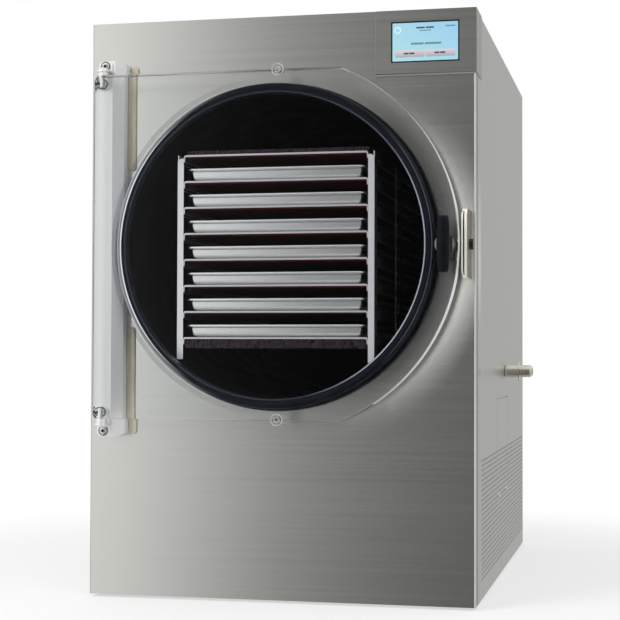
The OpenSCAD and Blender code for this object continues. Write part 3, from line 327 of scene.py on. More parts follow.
tray_metal = surface("tray_metal", (0.84, 0.845, 0.85), 0.24, scale=(9, 9, 60), vary=0.03, rough_vary=0.015,
                     Metallic=0.88)
silicone = surface("silicone", (0.075, 0.012, 0.012), 0.55, scale=35, vary=0.25, bump=0.0002,
                   Specular_IOR_Level=0.15)
rubber = surface("rubber", (0.0035, 0.0045, 0.0085), 0.34, scale=70, vary=0.2, rough_vary=0.06,
                 bump=0.00004, Specular_IOR_Level=0.22)
matt_rubber = surface("matt_rubber", (0.020, 0.020, 0.022), 0.62, scale=200, vary=0.2, bump=0.0001)
black_gloss = surface("black_gloss", (0.005, 0.0055, 0.0075), 0.22, scale=180, vary=0.2, rough_vary=0.03,
                      Specular_IOR_Level=0.09)
black_plastic = surface("black_plastic", (0.018, 0.018, 0.020), 0.45, scale=700, vary=0.15, bump=0.0001)
black_enamel = surface("black_enamel", (0.012, 0.012, 0.013), 0.22, scale=120, vary=0.15, bump=0.0001)
copper = surface("copper", (0.72, 0.36, 0.22), 0.28, scale=80, vary=0.14, Metallic=1.0)
fin_metal = surface("fin_metal", (0.72, 0.73, 0.74), 0.35, scale=(60, 200, 60), Metallic=1.0)
nickel = surface("nickel", (0.74, 0.71, 0.62), 0.16, scale=200, vary=0.06, Metallic=1.0)
foam = surface("foam", (0.78, 0.66, 0.42), 0.85, scale=90, vary=0.12, bump=0.001)
board = surface("board", (0.02, 0.14, 0.06), 0.4, scale=300, vary=0.2)
milky_tube = surface("milky_tube", (0.74, 0.77, 0.76), 0.35, scale=120, vary=0.05)
red_enamel = surface("red_enamel", (0.48, 0.02, 0.02), 0.28, scale=150, vary=0.12, bump=0.00008)


def chamber_material():
    """Dark inside the chamber, bright on the flange and lip outside the gasket's circle, with a painted
    highlight along the flange's outer edge on the hinge side.
    """
    mat, g, bsdf = material("chamber_metal")
    dx, _, radius = g.about_axis()
    outside = g.ramp(radius, *FLANGE_INSIDE)
    grain = g.noise(30, 4.0)
    inner = g.mix(g.spread(grain), (0.004, 0.004, 0.005), (0.008, 0.008, 0.010))
    flange = g.mix(g.spread(grain), (0.030, 0.033, 0.040), (0.045, 0.050, 0.060))
    # Painted highlight: a pale line along the flange's outer edge on the hinge side.
    edge = g.times(g.band(radius, *FLANGE_GLINT), g.ramp(dx, -0.12, -0.02, 1.0, 0.0))
    outer = g.mix(edge, flange, (0.40, 0.41, 0.43))
    g.put(bsdf.inputs["Base Color"], g.mix(outside, inner, outer))
    g.put(bsdf.inputs["Metallic"], g.times(outside, g.blend(edge, 1.0, 0.2)))
    g.put(bsdf.inputs["Specular IOR Level"], g.blend(outside, 0.12, 0.5))
    g.put(bsdf.inputs["Roughness"], g.blend(outside, g.spread(grain, 0.36, 0.5), 0.22))
    return mat


dress(front_steel, "front_panel")
dress(side_steel, "top_cover", "service_cover", "left_side_panel", "right_side_panel")
dress(bezel_steel, "control_panel")
dress(back_steel, "base_pan", "rear_panel", "chamber_cradles")
dress(channel_steel, "hinge_channel")
dress(strike_metal, "strike")
dress(bracket_steel, "hinge_brackets", "hinge_spacers")
dress(polished, "cabinet_screws",
      "latch_shaft", "latch_cam", "latch_nut", "fan_shaft", "vacuum_line")
dress(dark_bolt, "strike_bolt")
dress(rack_metal, "rack_left_side", "rack_right_side")
dress(shelf_metal, "shelves")
dress(tray_metal, *[f"tray_{i}" for i in range(1, 8)])
dress(silicone, "heater_mats")
dress(rubber, "door_gasket")
dress(matt_rubber, "feet", "compressor_mounts")
dress(black_gloss, "latch_grip")
dress(black_plastic, "screen_module", "fan_shroud", "power_inlet", "switch_housing", "switch_rocker",
      "pump_outlet")
dress(black_enamel, "compressor", "fan_motor")
dress(copper, "evaporator_coil", "refrigerant_lines", "filter_drier")
dress(fin_metal, "condenser", "fan_rotor")
dress(nickel, "vacuum_fitting", "drain_valve")
dress(foam, "foam_jacket")
dress(board, "control_board")
dress(milky_tube, "drain_line")
dress(red_enamel, "drain_lever")
dress(chamber_material(), "vacuum_chamber")

# ---- Mesh helpers ----


def mesh_object(name, verts, faces, mat, smooth_angle=None):
    mesh = bpy.data.meshes.new(name)
    mesh.from_pydata([tuple(v) for v in verts], [], faces)
    mesh.materials.append(mat)
    mesh.validate()
    obj = bpy.data.objects.new(name, mesh)
    scene.collection.objects.link(obj)
    tidy_mesh(obj, smooth_angle)
    return obj


def tidy_mesh(obj, smooth_angle=None):
    """Makes the faces point outwards, and smooths where they meet at less than the angle, in degrees."""
    bm = bmesh.new()
    bm.from_mesh(obj.data)
    bmesh.ops.recalc_face_normals(bm, faces=bm.faces)
    bm.to_mesh(obj.data)
    bm.free()
    if smooth_angle is not None:
        obj.data.polygons.foreach_set("use_smooth", [True] * len(obj.data.polygons))
        obj.data.set_sharp_from_angle(angle=math.radians(smooth_angle))


def apply_modifiers(obj):
    """Bakes the modifiers into the mesh."""
    bpy.context.view_layer.update()
    evaluated = obj.evaluated_get(bpy.context.evaluated_depsgraph_get())
    mesh = bpy.data.meshes.new_from_object(evaluated)
    obj.modifiers.clear()
    obj.data = mesh


def lathe(name, profile, mat, origin, axis, steps=48, smooth_angle=35):
    """A closed turned piece: its profile is (radius, height) pairs in mm, from one end to the other."""
    turn = Vector((0, 0, 1)).rotation_difference(Vector(axis)).to_matrix()
    verts, faces = [], []
    rings = []
    for r, h in profile:
        if r <= 1e-6:
            verts.append(Vector((0, 0, h * MM)))
            rings.append([len(verts) - 1])
        else:
            ring = []
            for k in range(steps):
                a = 2 * math.pi * k / steps
                verts.append(Vector((r * MM * math.cos(a), r * MM * math.sin(a), h * MM)))
                ring.append(len(verts) - 1)
            rings.append(ring)
    for low, high in zip(rings, rings[1:]):
        for k in range(steps):
            n = (k + 1) % steps
            if len(low) == 1 and len(high) == 1:
                break
            if len(low) == 1:
                faces.append((low[0], high[n], high[k]))
            elif len(high) == 1:
                faces.append((low[k], low[n], high[0]))
            else:
                faces.append((low[k], low[n], high[n], high[k]))
    placed = [turn @ v + Vector(origin) for v in verts]
    return mesh_object(name, placed, faces, mat, smooth_angle)


def loft(name, loops, mat, smooth_angle=35, wrap=False):
    """Joins loops of as many points each, and closes the ends with faces, or with wrap joins the last
    loop to the first."""
    n = len(loops[0])
    faces = []
    for i in range(len(loops) if wrap else len(loops) - 1):
        j = (i + 1) % len(loops)
        for k in range(n):
            m = (k + 1) % n
            faces.append((i * n + k, i * n + m, j * n + m, j * n + k))
    if not wrap:
        faces += [tuple(range(n)), tuple(range((len(loops) - 1) * n, len(loops) * n))]
    return mesh_object(name, [v for loop in loops for v in loop], faces, mat, smooth_angle)


def belongs(obj, body="cabinet"):
    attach(obj, body)
    return obj


def stands_for(obj, node, body="cabinet"):
    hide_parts(node)
    return belongs(obj, body)


def box_mm(node):
    """A node's box in cabinet millimetres, as its two corners."""
    return tuple((p.x / MM, (p.y - FACE_Y) / MM, (p.z - BASE_Z) / MM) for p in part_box(node))


def rounded(x0, x1, z0, z1, r, steps):
    """The outline of a rectangle with round corners."""
    corners = ((x1 - r, z1 - r, 0), (x0 + r, z1 - r, 90), (x0 + r, z0 + r, 180), (x1 - r, z0 + r, 270))
    angles = [math.radians(90 * k / steps) for k in range(steps + 1)]
    return [(cx + r * math.cos(math.radians(a0) + a), cz + r * math.sin(math.radians(a0) + a))
            for cx, cz, a0 in corners for a in angles]


def plate(name, x, y, z, mat, radius=0.0, bevel=0.0):
    """A flat plate in the XZ plane between two values on each axis, in cabinet millimetres, its corners
    rounded by radius and its front edge eased by bevel."""
    layers = [(y[1], 0.0), (y[0] + bevel, 0.0)]
    if bevel:
        layers += [(y[0] + bevel * 0.3, bevel * 0.3), (y[0], bevel)]
    loops = []
    for depth, inset in layers:
        r = max(radius - inset, 0.05)
        outline = rounded(x[0] + inset, x[1] - inset, z[0] + inset, z[1] - inset, r, 6)
        loops.append([cab(px, depth, pz) for px, pz in outline])
    return loft(name, loops, mat, 30)


# ---- Clear door ----
door_lo, door_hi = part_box("door")
DOOR_R = (door_hi.x - AXIS_X) / MM
DOOR_H = (door_hi.z - door_lo.z) / MM
DOOR_T = (door_hi.y - door_lo.y) / MM
HINGE_X = door_lo.x + (door_hi.y - door_lo.y) / 2
shaft_lo, shaft_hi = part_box("latch_shaft")
LATCH_X = (shaft_lo.x + shaft_hi.x) / 2
LATCH_Z = (shaft_lo.z + shaft_hi.z) / 2

PIN_R = 2.6
acrylic, g, bsdf = material("acrylic", Base_Color=(0.985, 0.995, 1.0), IOR=1.49, Transmission_Weight=1.0,
                            Specular_Tint=(0.12, 0.12, 0.12))
g.put(bsdf.inputs["Roughness"], g.ramp(g.noise(9, 5.0), 0.45, 0.75, 0.0, 0.035))


# The sawn and sanded rim, which scatters light.
frosted, g, bsdf = material("frosted_rim", Transmission_Weight=0.12, IOR=1.49, Specular_IOR_Level=0.5)
rim_grain = g.noise(300, 3.0)
g.put(bsdf.inputs["Base Color"], g.mix(g.spread(rim_grain), (0.95, 0.96, 0.96), (1.0, 1.0, 1.0)))
g.put(bsdf.inputs["Roughness"], g.spread(rim_grain, 0.3, 0.45))


def door_layer(y_from_middle, inset):
    """Loop of (x, z) offsets in mm from the chamber's axis at one depth of the door."""
    half = DOOR_T / 2
    hinge = (HINGE_X - AXIS_X) / MM
    left = hinge - math.sqrt(max(half ** 2 - y_from_middle ** 2, 0.0))
    eased = hinge - math.sqrt(max((half - 3) ** 2 - y_from_middle ** 2, 0.0))
    top = DOOR_H / 2 - inset
    r = DOOR_R - inset
    corner = math.asin(top / r)
    pts = [(left, -top + 6), (left, top - 6), (eased, top)]
    for k in range(1, 12):
        pts.append((eased + (r * math.cos(corner) - eased) * k / 12, top))
    arc = 120
    for k in range(arc + 1):
        a = corner - 2 * corner * k / arc
        pts.append((r * math.cos(a), r * math.sin(a)))
    for k in range(1, 12):
        pts.append((r * math.cos(corner) + (eased - r * math.cos(corner)) * k / 12, -top))
    pts.append((eased, -top))
    return pts


def make_door():
    half = DOOR_T / 2
    ease = 0.9
    depths = [(-half, ease), (-half + 0.3 * ease, 0.3 * ease), (-half + ease, 0.0)]
    depths += [(-half * math.cos(math.pi * k / 14), 0.0) for k in range(1, 14)
               if abs(half * math.cos(math.pi * k / 14)) < half - ease]
    depths += [(half - ease, 0.0), (half - 0.3 * ease, 0.3 * ease), (half, ease)]
    middle_y = (door_lo.y + door_hi.y) / 2
    loops = [[Vector((AXIS_X + x * MM, middle_y + y * MM, AXIS_Z + z * MM)) for x, z in door_layer(y, inset)]
             for y, inset in depths]
    obj = loft("clear_door", loops, acrylic, 30)
    # Bores for the latch shaft and the pins, and half-round notches for the bumper studs.
    bumper_lo, bumper_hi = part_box("door_bumpers")
    bumper_x = (bumper_lo.x + bumper_hi.x) / 2
    front = door_lo.y - 0.02
    through, upright = (0, 1, 0), (0, 0, 1)
    cutters = [lathe(f"cut_{name}", [(0, 0), (r, 0), (r, long), (0, long)], acrylic, start, axis)
               for name, r, long, start, axis in (
                   ("shaft", 6.1, 60, (LATCH_X, front, LATCH_Z), through),
                   ("pin_low", PIN_R + 0.1, 29, (HINGE_X, middle_y, door_lo.z - 0.015), upright),
                   ("pin_high", PIN_R + 0.1, 29, (HINGE_X, middle_y, door_hi.z - 0.014), upright),
                   ("stud_low", 4.4, 60, (bumper_x, front, door_lo.z), through),
                   ("stud_high", 4.4, 60, (bumper_x, front, door_hi.z), through))]
    for cutter in cutters:
        cut = obj.modifiers.new("cut", "BOOLEAN")
        cut.operation = "DIFFERENCE"
        cut.solver = "EXACT"
        cut.object = cutter
    apply_modifiers(obj)
    for cutter in cutters:
        bpy.data.objects.remove(cutter)
    tidy_mesh(obj, 30)
    obj.data.materials.append(frosted)
    for face in obj.data.polygons:
        if abs(face.normal.y) > 0.999 or abs(face.normal.z) > 0.999:
            face.use_smooth = False
        if face.normal.x > 0.55 and face.center.x > AXIS_X + 0.12 and abs(face.normal.y) < 0.35:
            face.material_index = len(obj.data.materials) - 1
    obj.visible_shadow = False
    stands_for(obj, "door", "door")


make_door()

# ---- Perforated side panels ----
VENT_PITCH = 7.7
VENT_ROW = 6.7
VENT_R = 1.7
VENT_SIDES = 10
VENT_Y = (70.0, 729.0)
VENT_Z = (27.0, 190.0)
SHEET = 1.5
service_lo, service_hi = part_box("service_cover")


def circle(y, z, r, sides):
    return [(y + r * math.cos(2 * math.pi * k / sides), z + r * math.sin(2 * math.pi * k / sides))
            for k in range(sides)]


def rectangle(y0, y1, z0, z1):
    return [(y0, z0), (y1, z0), (y1, z1), (y0, z1)]


def vent_holes(keep):
    """Loops of the staggered holes whose centre and radius pass the test."""
    loops = []
    rows = int((VENT_Z[1] - VENT_Z[0]) / VENT_ROW)
    columns = int((VENT_Y[1] - VENT_Y[0]) / VENT_PITCH)
    for r in range(rows + 1):
        for c in range(columns):
            y = VENT_Y[0] + (c + 0.5 * (r % 2)) * VENT_PITCH
            z = VENT_Z[0] + r * VENT_ROW
            if keep(y, z, VENT_R):
                loops.append(circle(y, z, VENT_R, VENT_SIDES))
    return loops


def sheet_with_holes(name, side, outline, loops, mat, blocks=()):
    """A sheet in the YZ plane at one side of the cabinet, with openings cut by closed loops, and blocks
    joined to it. Everything is in cabinet millimetres."""
    points = [Vector(p) for p in rectangle(*outline)]
    owner = [-1] * 4
    edges = [(k, (k + 1) % 4) for k in range(4)]
    for number, loop in enumerate(loops):
        start = len(points)
        points += [Vector(p) for p in loop]
        owner += [number] * len(loop)
        edges += [(start + k, start + (k + 1) % len(loop)) for k in range(len(loop))]
    flat, _, triangles, origin, _, _ = delaunay_2d_cdt(points, edges, [], 0, 1e-4)
    whose = [owner[o[0]] if o else -2 for o in origin]
    kept = [t for t in triangles if not (whose[t[0]] >= 0 and len({whose[v] for v in t}) == 1)]
    outer, inner = HALF_W / MM * side, (HALF_W / MM - SHEET) * side
    n = len(flat)
    verts = [cab(outer, p[0], p[1]) for p in flat] + [cab(inner, p[0], p[1]) for p in flat]
    faces = [tuple(t) for t in kept] + [tuple(v + n for v in reversed(t)) for t in kept]
    count = {}
    for t in kept:
        for k in range(3):
            e = (t[k], t[(k + 1) % 3])
            count[tuple(sorted(e))] = count.get(tuple(sorted(e)), []) + [e]
    faces += [(e[0][1], e[0][0], e[0][0] + n, e[0][1] + n) for e in count.values() if len(e) == 1]
    for (x0, x1), (y0, y1), (z0, z1) in blocks:
        b = len(verts)
        verts += [cab(x, y, z) for x in (x0 * side, x1 * side) for y in (y0, y1) for z in (z0, z1)]
        faces += [tuple(b + v for v in f) for f in
                  ((0, 1, 3, 2), (4, 6, 7, 5), (0, 4, 5, 1), (2, 3, 7, 6), (0, 2, 6, 4), (1, 5, 7, 3))]
    return mesh_object(name, verts, faces, mat)


def make_panels():
    """The side panels and the service cover with their real fine perforation."""
    panel_lo, panel_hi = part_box("right_side_panel")
    y0, y1 = (panel_lo.y - FACE_Y) / MM, (panel_hi.y - FACE_Y) / MM
    z0, z1 = (panel_lo.z - BASE_Z) / MM, (panel_hi.z - BASE_Z) / MM - 14
    cover = [(service_lo.y - FACE_Y) / MM, (service_hi.y - FACE_Y) / MM,
             (service_lo.z - BASE_Z) / MM, (service_hi.z - BASE_Z) / MM - 9]
    window = [cover[0] - 1, cover[1] + 1, cover[2] - 1, cover[3] + 1]
    inner = HALF_W / MM - SHEET
    folds = [((inner - SHEET, inner), (y0 + 18, y1 - 2 * SHEET), (z1 - 10, z1 + 14)),
             ((inner - 14, inner), (y1 - 2 * SHEET, y1 - SHEET), (30, z1 - 12))]

    def clear_of_window(y, z, r):
        return (y < window[0] - r - 0.5 or y > window[1] + r + 0.5
                or z < window[2] - r - 0.5 or z > window[3] + r + 0.5)

    def inside_cover(y, z, r):
        near_screw = any(math.hypot(y - sy, z - sz) < 8 for sy, sz in screws)
        return (cover[0] + r + 0.5 < y < cover[1] - r - 0.5 and cover[2] + r + 0.5 < z < cover[3]
                and not near_screw)

    fit_lo, fit_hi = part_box("vacuum_fitting")
    fit = ((fit_lo.y + fit_hi.y) / 2 - FACE_Y) / MM, ((fit_lo.z + fit_hi.z) / 2 - BASE_Z) / MM
    drain_lo, drain_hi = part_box("drain_line")
    drain = ((drain_lo.y + drain_hi.y) / 2 - FACE_Y) / MM, (drain_lo.z - BASE_Z) / MM + 6.8
    screws = [(cover[0] + 21, window[2] + 14), (cover[1] - 21, window[2] + 14)]
    strip = ((inner - SHEET, inner), (window[0] + 6, window[1] - 6), (window[2] - 8, window[2] + 22))
    tongue = ((inner - SHEET, inner), (window[0] + 12, window[1] - 12), (window[3] - 12, window[3] + 10))
    right_loops = vent_holes(clear_of_window) + [rectangle(*window), circle(*fit, 9, 32)]
    left_loops = vent_holes(lambda y, z, r: True) + [circle(*drain, 7.2, 32)]
    cover_loops = vent_holes(inside_cover) + [circle(*p, 2.2, 16) for p in screws]
    for name, node, side, outline, loops, extra in (
            ("right_panel", "right_side_panel", 1, (y0, y1, z0, z1), right_loops, folds + [strip]),
            ("left_panel", "left_side_panel", -1, (y0, y1, z0, z1), left_loops, folds),
            ("service_plate", "service_cover", 1, cover, cover_loops, [tongue])):
        obj = sheet_with_holes(name, side, outline, loops, side_steel, extra)
        stands_for(obj, node)


make_panels()

RING_STEPS = 180


def ring(name, profile, mat):
    """A closed ring about the chamber's axis, from a loop of (radius, depth behind the face) in mm."""
    loops = []
    for k in range(RING_STEPS):
        a = 2 * math.pi * k / RING_STEPS
        loops.append([Vector((AXIS_X + r * MM * math.cos(a), FACE_Y + y * MM, AXIS_Z + r * MM * math.sin(a)))
                      for r, y in profile])
    return loft(name, loops, mat, 40, wrap=True)


def along_y(name, outline, y0, y1, mat):
    """An outline of (x, z) points drawn out between two depths, all in cabinet millimetres."""
    return loft(name, [[cab(x, y, z) for x, z in outline] for y in (y0, y1)], mat)


# ---- Trays ----
RIM_W = 3.4
DRAFT = 4.6
CORNER = 8.0
TRAY_CORNER_STEPS = 10


def tray_loop(box, inset, z):
    (x0, y0, z0), (x1, y1, _) = box
    r = max(CORNER - inset, 2.0)
    x0, x1, y0, y1 = x0 + inset, x1 - inset, y0 + inset, y1 - inset
    return [cab(x, y, z0 + z) for x, y in rounded(x0, x1, y0, y1, r, TRAY_CORNER_STEPS)]


def make_trays():
    """Pressed trays: a rolled rim over drawn walls that curve into the floor."""
    for number in range(1, 8):
        box = box_mm(f"tray_{number}")
        h = box[1][2] - box[0][2]

        def wall(z):
            return RIM_W + 0.6 + (DRAFT - 0.6) * (1 - z / h)

        foot, middle = RIM_W + DRAFT, h * 0.5
        outside = [(foot + 8.0, 0.0), (foot + 4.4, 0.35), (foot + 1.9, 1.3), (wall(3.0) + 0.5, 2.9),
                   (wall(4.8), 4.8), (wall(middle), middle), (wall(h - 4.6), h - 4.6),
                   (wall(h - 4.4) + 1.2, h - 4.2), (RIM_W + 2.2, h - 3.4), (RIM_W + 1.4, h - 2.2),
                   (RIM_W - 1.2, h - 1.6), (1.9, h - 1.6), (1.3, h - 2.2), (0.8, h - 2.6), (0.25, h - 2.4)]
        inside = [(0.0, h - 1.4), (0.12, h - 0.7), (0.6, h - 0.15), (1.3, h), (RIM_W - 1.0, h),
                  (RIM_W + 0.3, h - 0.5), (RIM_W + 2.9, h - 2.4), (wall(h - 4.4) + 2.0, h - 4.0),
                  (wall(middle) + 0.9, middle), (wall(5.0) + 0.9, 5.0), (foot + 2.8, 2.2), (foot + 5.0, 1.3),
                  (foot + 8.5, 0.9)]
        loops = [tray_loop(box, inset, z) for inset, z in outside + inside]
        obj = loft(f"pressed_tray_{number}", loops, tray_metal, 32)
        stands_for(obj, f"tray_{number}")


make_trays()

# ---- Shelves, mats and wrapped pads ----
SHELF_LEG = 9.5
SHELF_T = 2.4
SHELF_BEND = 3.2
SHELVES = 8


def shelf_outline(x0, x1, z):
    """Cross-section of one shelf: a plate with bent-down ends."""
    def bend(cx, cz, r, a0, a1):
        return [(cx + r * math.cos(math.radians(a0 + (a1 - a0) * k / 5)),
                 cz + r * math.sin(math.radians(a0 + (a1 - a0) * k / 5))) for k in range(6)]
    r, t = SHELF_BEND, 1.6
    inner = r - t
    outer_path = [(x0, z - SHELF_LEG)] + bend(x0 + r, z - r, r, 180, 90) + bend(x1 - r, z - r, r, 90, 0)
    outer_path += [(x1, z - SHELF_LEG), (x1 - t, z - SHELF_LEG)]
    low = z - SHELF_T
    inner_path = bend(x1 - r, low - inner, inner, 0, 90) + bend(x0 + r, low - inner, inner, 90, 180)
    return outer_path + inner_path + [(x0 + t, z - SHELF_LEG)]


FOIL_STEP = 1.6
FOIL_CREASE = 1.3


def foil_pad(name, x, y, z, mat):
    """A pad wrapped in creased foil: loops across it whose points are pushed in by noise."""
    loops = []
    count = int((x[1] - x[0]) / FOIL_STEP)
    across = [(y[0], z[0] + (z[1] - z[0]) * k / 8) for k in range(9)]
    across += [(y[0] + d, z[1]) for d in (1.5, 3, 5, 8, 12, 20, 40, 90, 200)] + [(y[1], z[1]), (y[1], z[0])]
    across += [(y[0] + d, z[0]) for d in (200, 90, 40, 20, 12, 8, 5, 3, 1.5)]
    for i in range(count + 1):
        px = x[0] + (x[1] - x[0]) * i / count
        loop = []
        for py, pz in across:
            at = Vector((px * 0.16, py * 0.16, pz * 0.3))
            push = FOIL_CREASE * abs(noise.noise(at) + 0.6 * noise.noise(at * 2.7))
            to_y = push if py < y[0] + 60 else 0.0
            up = -1 if pz > (z[0] + z[1]) / 2 else 1
            loop.append(cab(px, py + to_y, pz + up * push * 0.45))
        loops.append(loop)
    return loft(name, loops, mat, 20)


def make_shelves():
    left, right = box_mm("rack_left_side")[1][0], box_mm("rack_right_side")[0][0]
    (_, y0, z0), (_, y1, z1) = box_mm("shelves")
    (_, my0, mz0), (_, my1, mz1) = box_mm("heater_mats")
    x0, x1 = left + 0.15, right - 0.15
    pitch = (z1 - z0 - SHELF_LEG) / (SHELVES - 1)
    for i in range(SHELVES):
        z = z1 - (SHELVES - 1 - i) * pitch
        shelf = along_y(f"shelf_plate_{i + 1}", shelf_outline(x0, x1, z), y0, y1, shelf_metal)
        stands_for(shelf, "shelves")
        if i:
            under = z - SHELF_T - 0.1
            edge = [(x0 + 3, under), (x1 - 3, under), (x1 - 3, z - 4.3), (x0 + 3, z - 4.3)]
            mat_piece = along_y(f"heater_mat_{i + 1}", edge, my0, my1, silicone)
            stands_for(mat_piece, "heater_mats")
    top = foil_pad("wrapped_pad_top", (x0 + 4, x1 + 1), (my0, my1), (z1 + 0.1, mz1), foil)
    low = foil_pad("wrapped_pad_low", (x0 + 2.2, x1 - 2.2), (my0, my1), (mz0, mz0 + 12.9), foil)
    for pad in (top, low):
        stands_for(pad, "heater_mats")
    # Rivets through the bent ends of the shelves, near the front.
    shank = [(0, -0.4), (1.7, -0.4), (1.6, 0.3), (1.1, 0.75), (0, 0.95)]
    for i in range(SHELVES):
        z = z1 - (SHELVES - 1 - i) * pitch - 5.6
        for side, x, direction in (("left", x0 + 1.6, 1), ("right", x1 - 1.6, -1)):
            for number, y in enumerate((13.0, 31.0)):
                rivet = lathe(f"rivet_{side}_{i + 1}_{number + 1}", shank, polished_satin, cab(x, y, z),
                              (direction, 0, 0), steps=12)
                belongs(rivet)


make_shelves()

# ---- Door seal ----


def seal_material():
    """Satin black rubber, with painted highlights on the edge of its inner lip and along its face."""
    mat, g, bsdf = material("seal_rubber")
    dx, dz, radius = g.about_axis()
    lip = g.ramp(radius, *SEAL_LIP, 1.0, 0.0, smooth=True)
    # Painted highlight on the seal's rounded shoulder, on the right side only.
    shoulder_glint = g.band(radius, *SEAL_SHOULDER_GLINT, smooth=True)
    shoulder_glint = g.times(shoulder_glint, g.ramp(dx, 0.14, 0.19, smooth=True))
    grain = g.noise(70, 4.0)
    body = g.mix(g.spread(grain), (0.0028, 0.0036, 0.007), (0.0045, 0.0056, 0.0105))
    dull, highlight_colour = (0.035, 0.042, 0.060), (0.50, 0.55, 0.66)
    # Painted highlight on the inner lip, brightest on the right and fading towards the top.
    right = g.times(g.ramp(dx, 0.04, 0.17, smooth=True), g.ramp(dz, 0.03, 0.15, 1.0, 0.15, smooth=True))
    lip_highlight = g.mix(right, dull, highlight_colour)
    # On the hinge side the seal's outer part is paler, a pale veil, and a painted white highlight line runs
    # just inside it.
    left = g.ramp(dx, -0.17, -0.06, 1.0, 0.0, smooth=True)
    line = g.band(radius, *SEAL_GLINT_LINE)
    line = g.times(line, g.ramp(dx, -0.20, -0.11, 1.0, 0.0, smooth=True))
    veil = g.times(g.ramp(radius, *SEAL_VEIL, 0.0, 0.85), left)
    colour = g.mix(shoulder_glint, g.mix(lip, body, lip_highlight), (0.11, 0.125, 0.15))
    pale = g.mix(g.ramp(radius, *SEAL_RIM), (0.28, 0.29, 0.32), (0.50, 0.51, 0.54))
    colour = g.mix(veil, colour, pale)
    g.put(bsdf.inputs["Base Color"], g.mix(line, colour, (0.86, 0.88, 0.93)))
    g.put(bsdf.inputs["Metallic"], g.times(lip, 0.45))
    g.put(bsdf.inputs["Specular IOR Level"], g.blend(lip, 0.14, 0.5))
    g.put(bsdf.inputs["Roughness"], g.blend(lip, g.spread(grain, 0.3, 0.38), 0.24))
    return mat


SEAL_PROFILE = [
    (204.25, -22.2), (204.25, -35.4), (204.4, -36.8), (204.9, -37.7), (205.7, -38.15), (206.6, -38.0),
    (207.3, -37.4), (208.1, -37.3), (209.0, -37.8), (210.4, -38.15), (213.2, -38.2), (215.2, -37.9),
    (216.6, -36.9), (217.3, -35.3), (217.5, -33.4), (217.5, -30.6), (216.8, -30.0), (216.8, -28.4),
    (217.5, -27.8), (217.5, -8.6), (210.2, -8.6), (210.2, -30.25), (205.85, -30.25), (205.85, -22.2)]
seal = ring("seal_ring", SEAL_PROFILE, seal_material())
stands_for(seal, "door_gasket")

# A thin, faintly dark, see-through ring round the seal's outside, seen on the hinge side only.
faint_ring_tint, g, bsdf = material("faint_ring_tint", Base_Color=(0.10, 0.10, 0.125), Roughness=0.3,
                                Specular_IOR_Level=0.3)
faint_ring_x, _, _ = g.split(g.place())
fade = g.ramp(faint_ring_x, AXIS_X - 0.15, AXIS_X - 0.02, 0.18, 0.0)
g.put(bsdf.inputs["Alpha"], g.times(fade, g.spread(g.noise(40), 0.9, 1.1)))
FAINT_RING_PROFILE = [(220.2, -31.7), (220.2, -32.1), (226.2, -32.3), (226.6, -32.15), (226.2, -32.0)]
faint_ring = ring("seal_faint_ring", FAINT_RING_PROFILE, faint_ring_tint)
belongs(faint_ring)
faint_ring.visible_shadow = False

# ---- Studs in the door's edges ----
stud_glint = surface("stud_glint", (0.80, 0.82, 0.82), 0.16, scale=300, vary=0.05, Metallic=0.9, Alpha=0.85)
stud_clear, g, bsdf = material("stud_clear", Base_Color=(0.30, 0.32, 0.31), Alpha=0.10,
                               Specular_IOR_Level=0.6)
g.put(bsdf.inputs["Roughness"], g.spread(g.noise(60), 0.16, 0.28))


def make_studs():
    (x0, _, _), (x1, _, _) = box_mm("door_bumpers")
    (_, front, low), (_, back, high) = box_mm("door")
    r, x = (x1 - x0) / 2, (x0 + x1) / 2
    cap = [(0, 0.02), (r, 0.02), (r, 1.2), (r - 0.7, 1.9), (0, 1.9)]
    for end, z in (("low", low + 1.4), ("high", high - 1.4)):
        # The hoops are painted highlights: bright rings standing for the glints on each clear stud's rims.
        for part, radius, tube in (("outer", r - 1.0, 0.75), ("inner", 3.4, 0.6)):
            loop = [(radius + tube * math.cos(math.radians(a)), 2.6 + tube * math.sin(math.radians(a)))
                    for a in range(0, 360, 30)]
            hoop = lathe(f"stud_{part}_{end}", loop + loop[:1], stud_glint, cab(x, front, z), (0, -1, 0))
            stands_for(hoop, "door_bumpers", "door")
        dish = [(0, 0.02), (r - 0.1, 0.02), (r, 1.0), (r - 0.3, 2.1), (r - 1.0, 2.9), (r - 1.9, 3.1),
                (r - 2.7, 2.6), (r - 3.3, 1.7), (r - 4.6, 1.35), (2.9, 1.4), (2.3, 2.0), (1.5, 2.3),
                (0, 2.35)]
        face = lathe(f"stud_face_{end}", dish, stud_clear, cab(x, front, z), (0, -1, 0))
        rear = lathe(f"stud_rear_{end}", cap, stud_clear, cab(x, back, z), (0, 1, 0))
        for obj in (face, rear):
            stands_for(obj, "door_bumpers", "door")
            obj.visible_shadow = False


make_studs()

# ---- Hinge screws ----


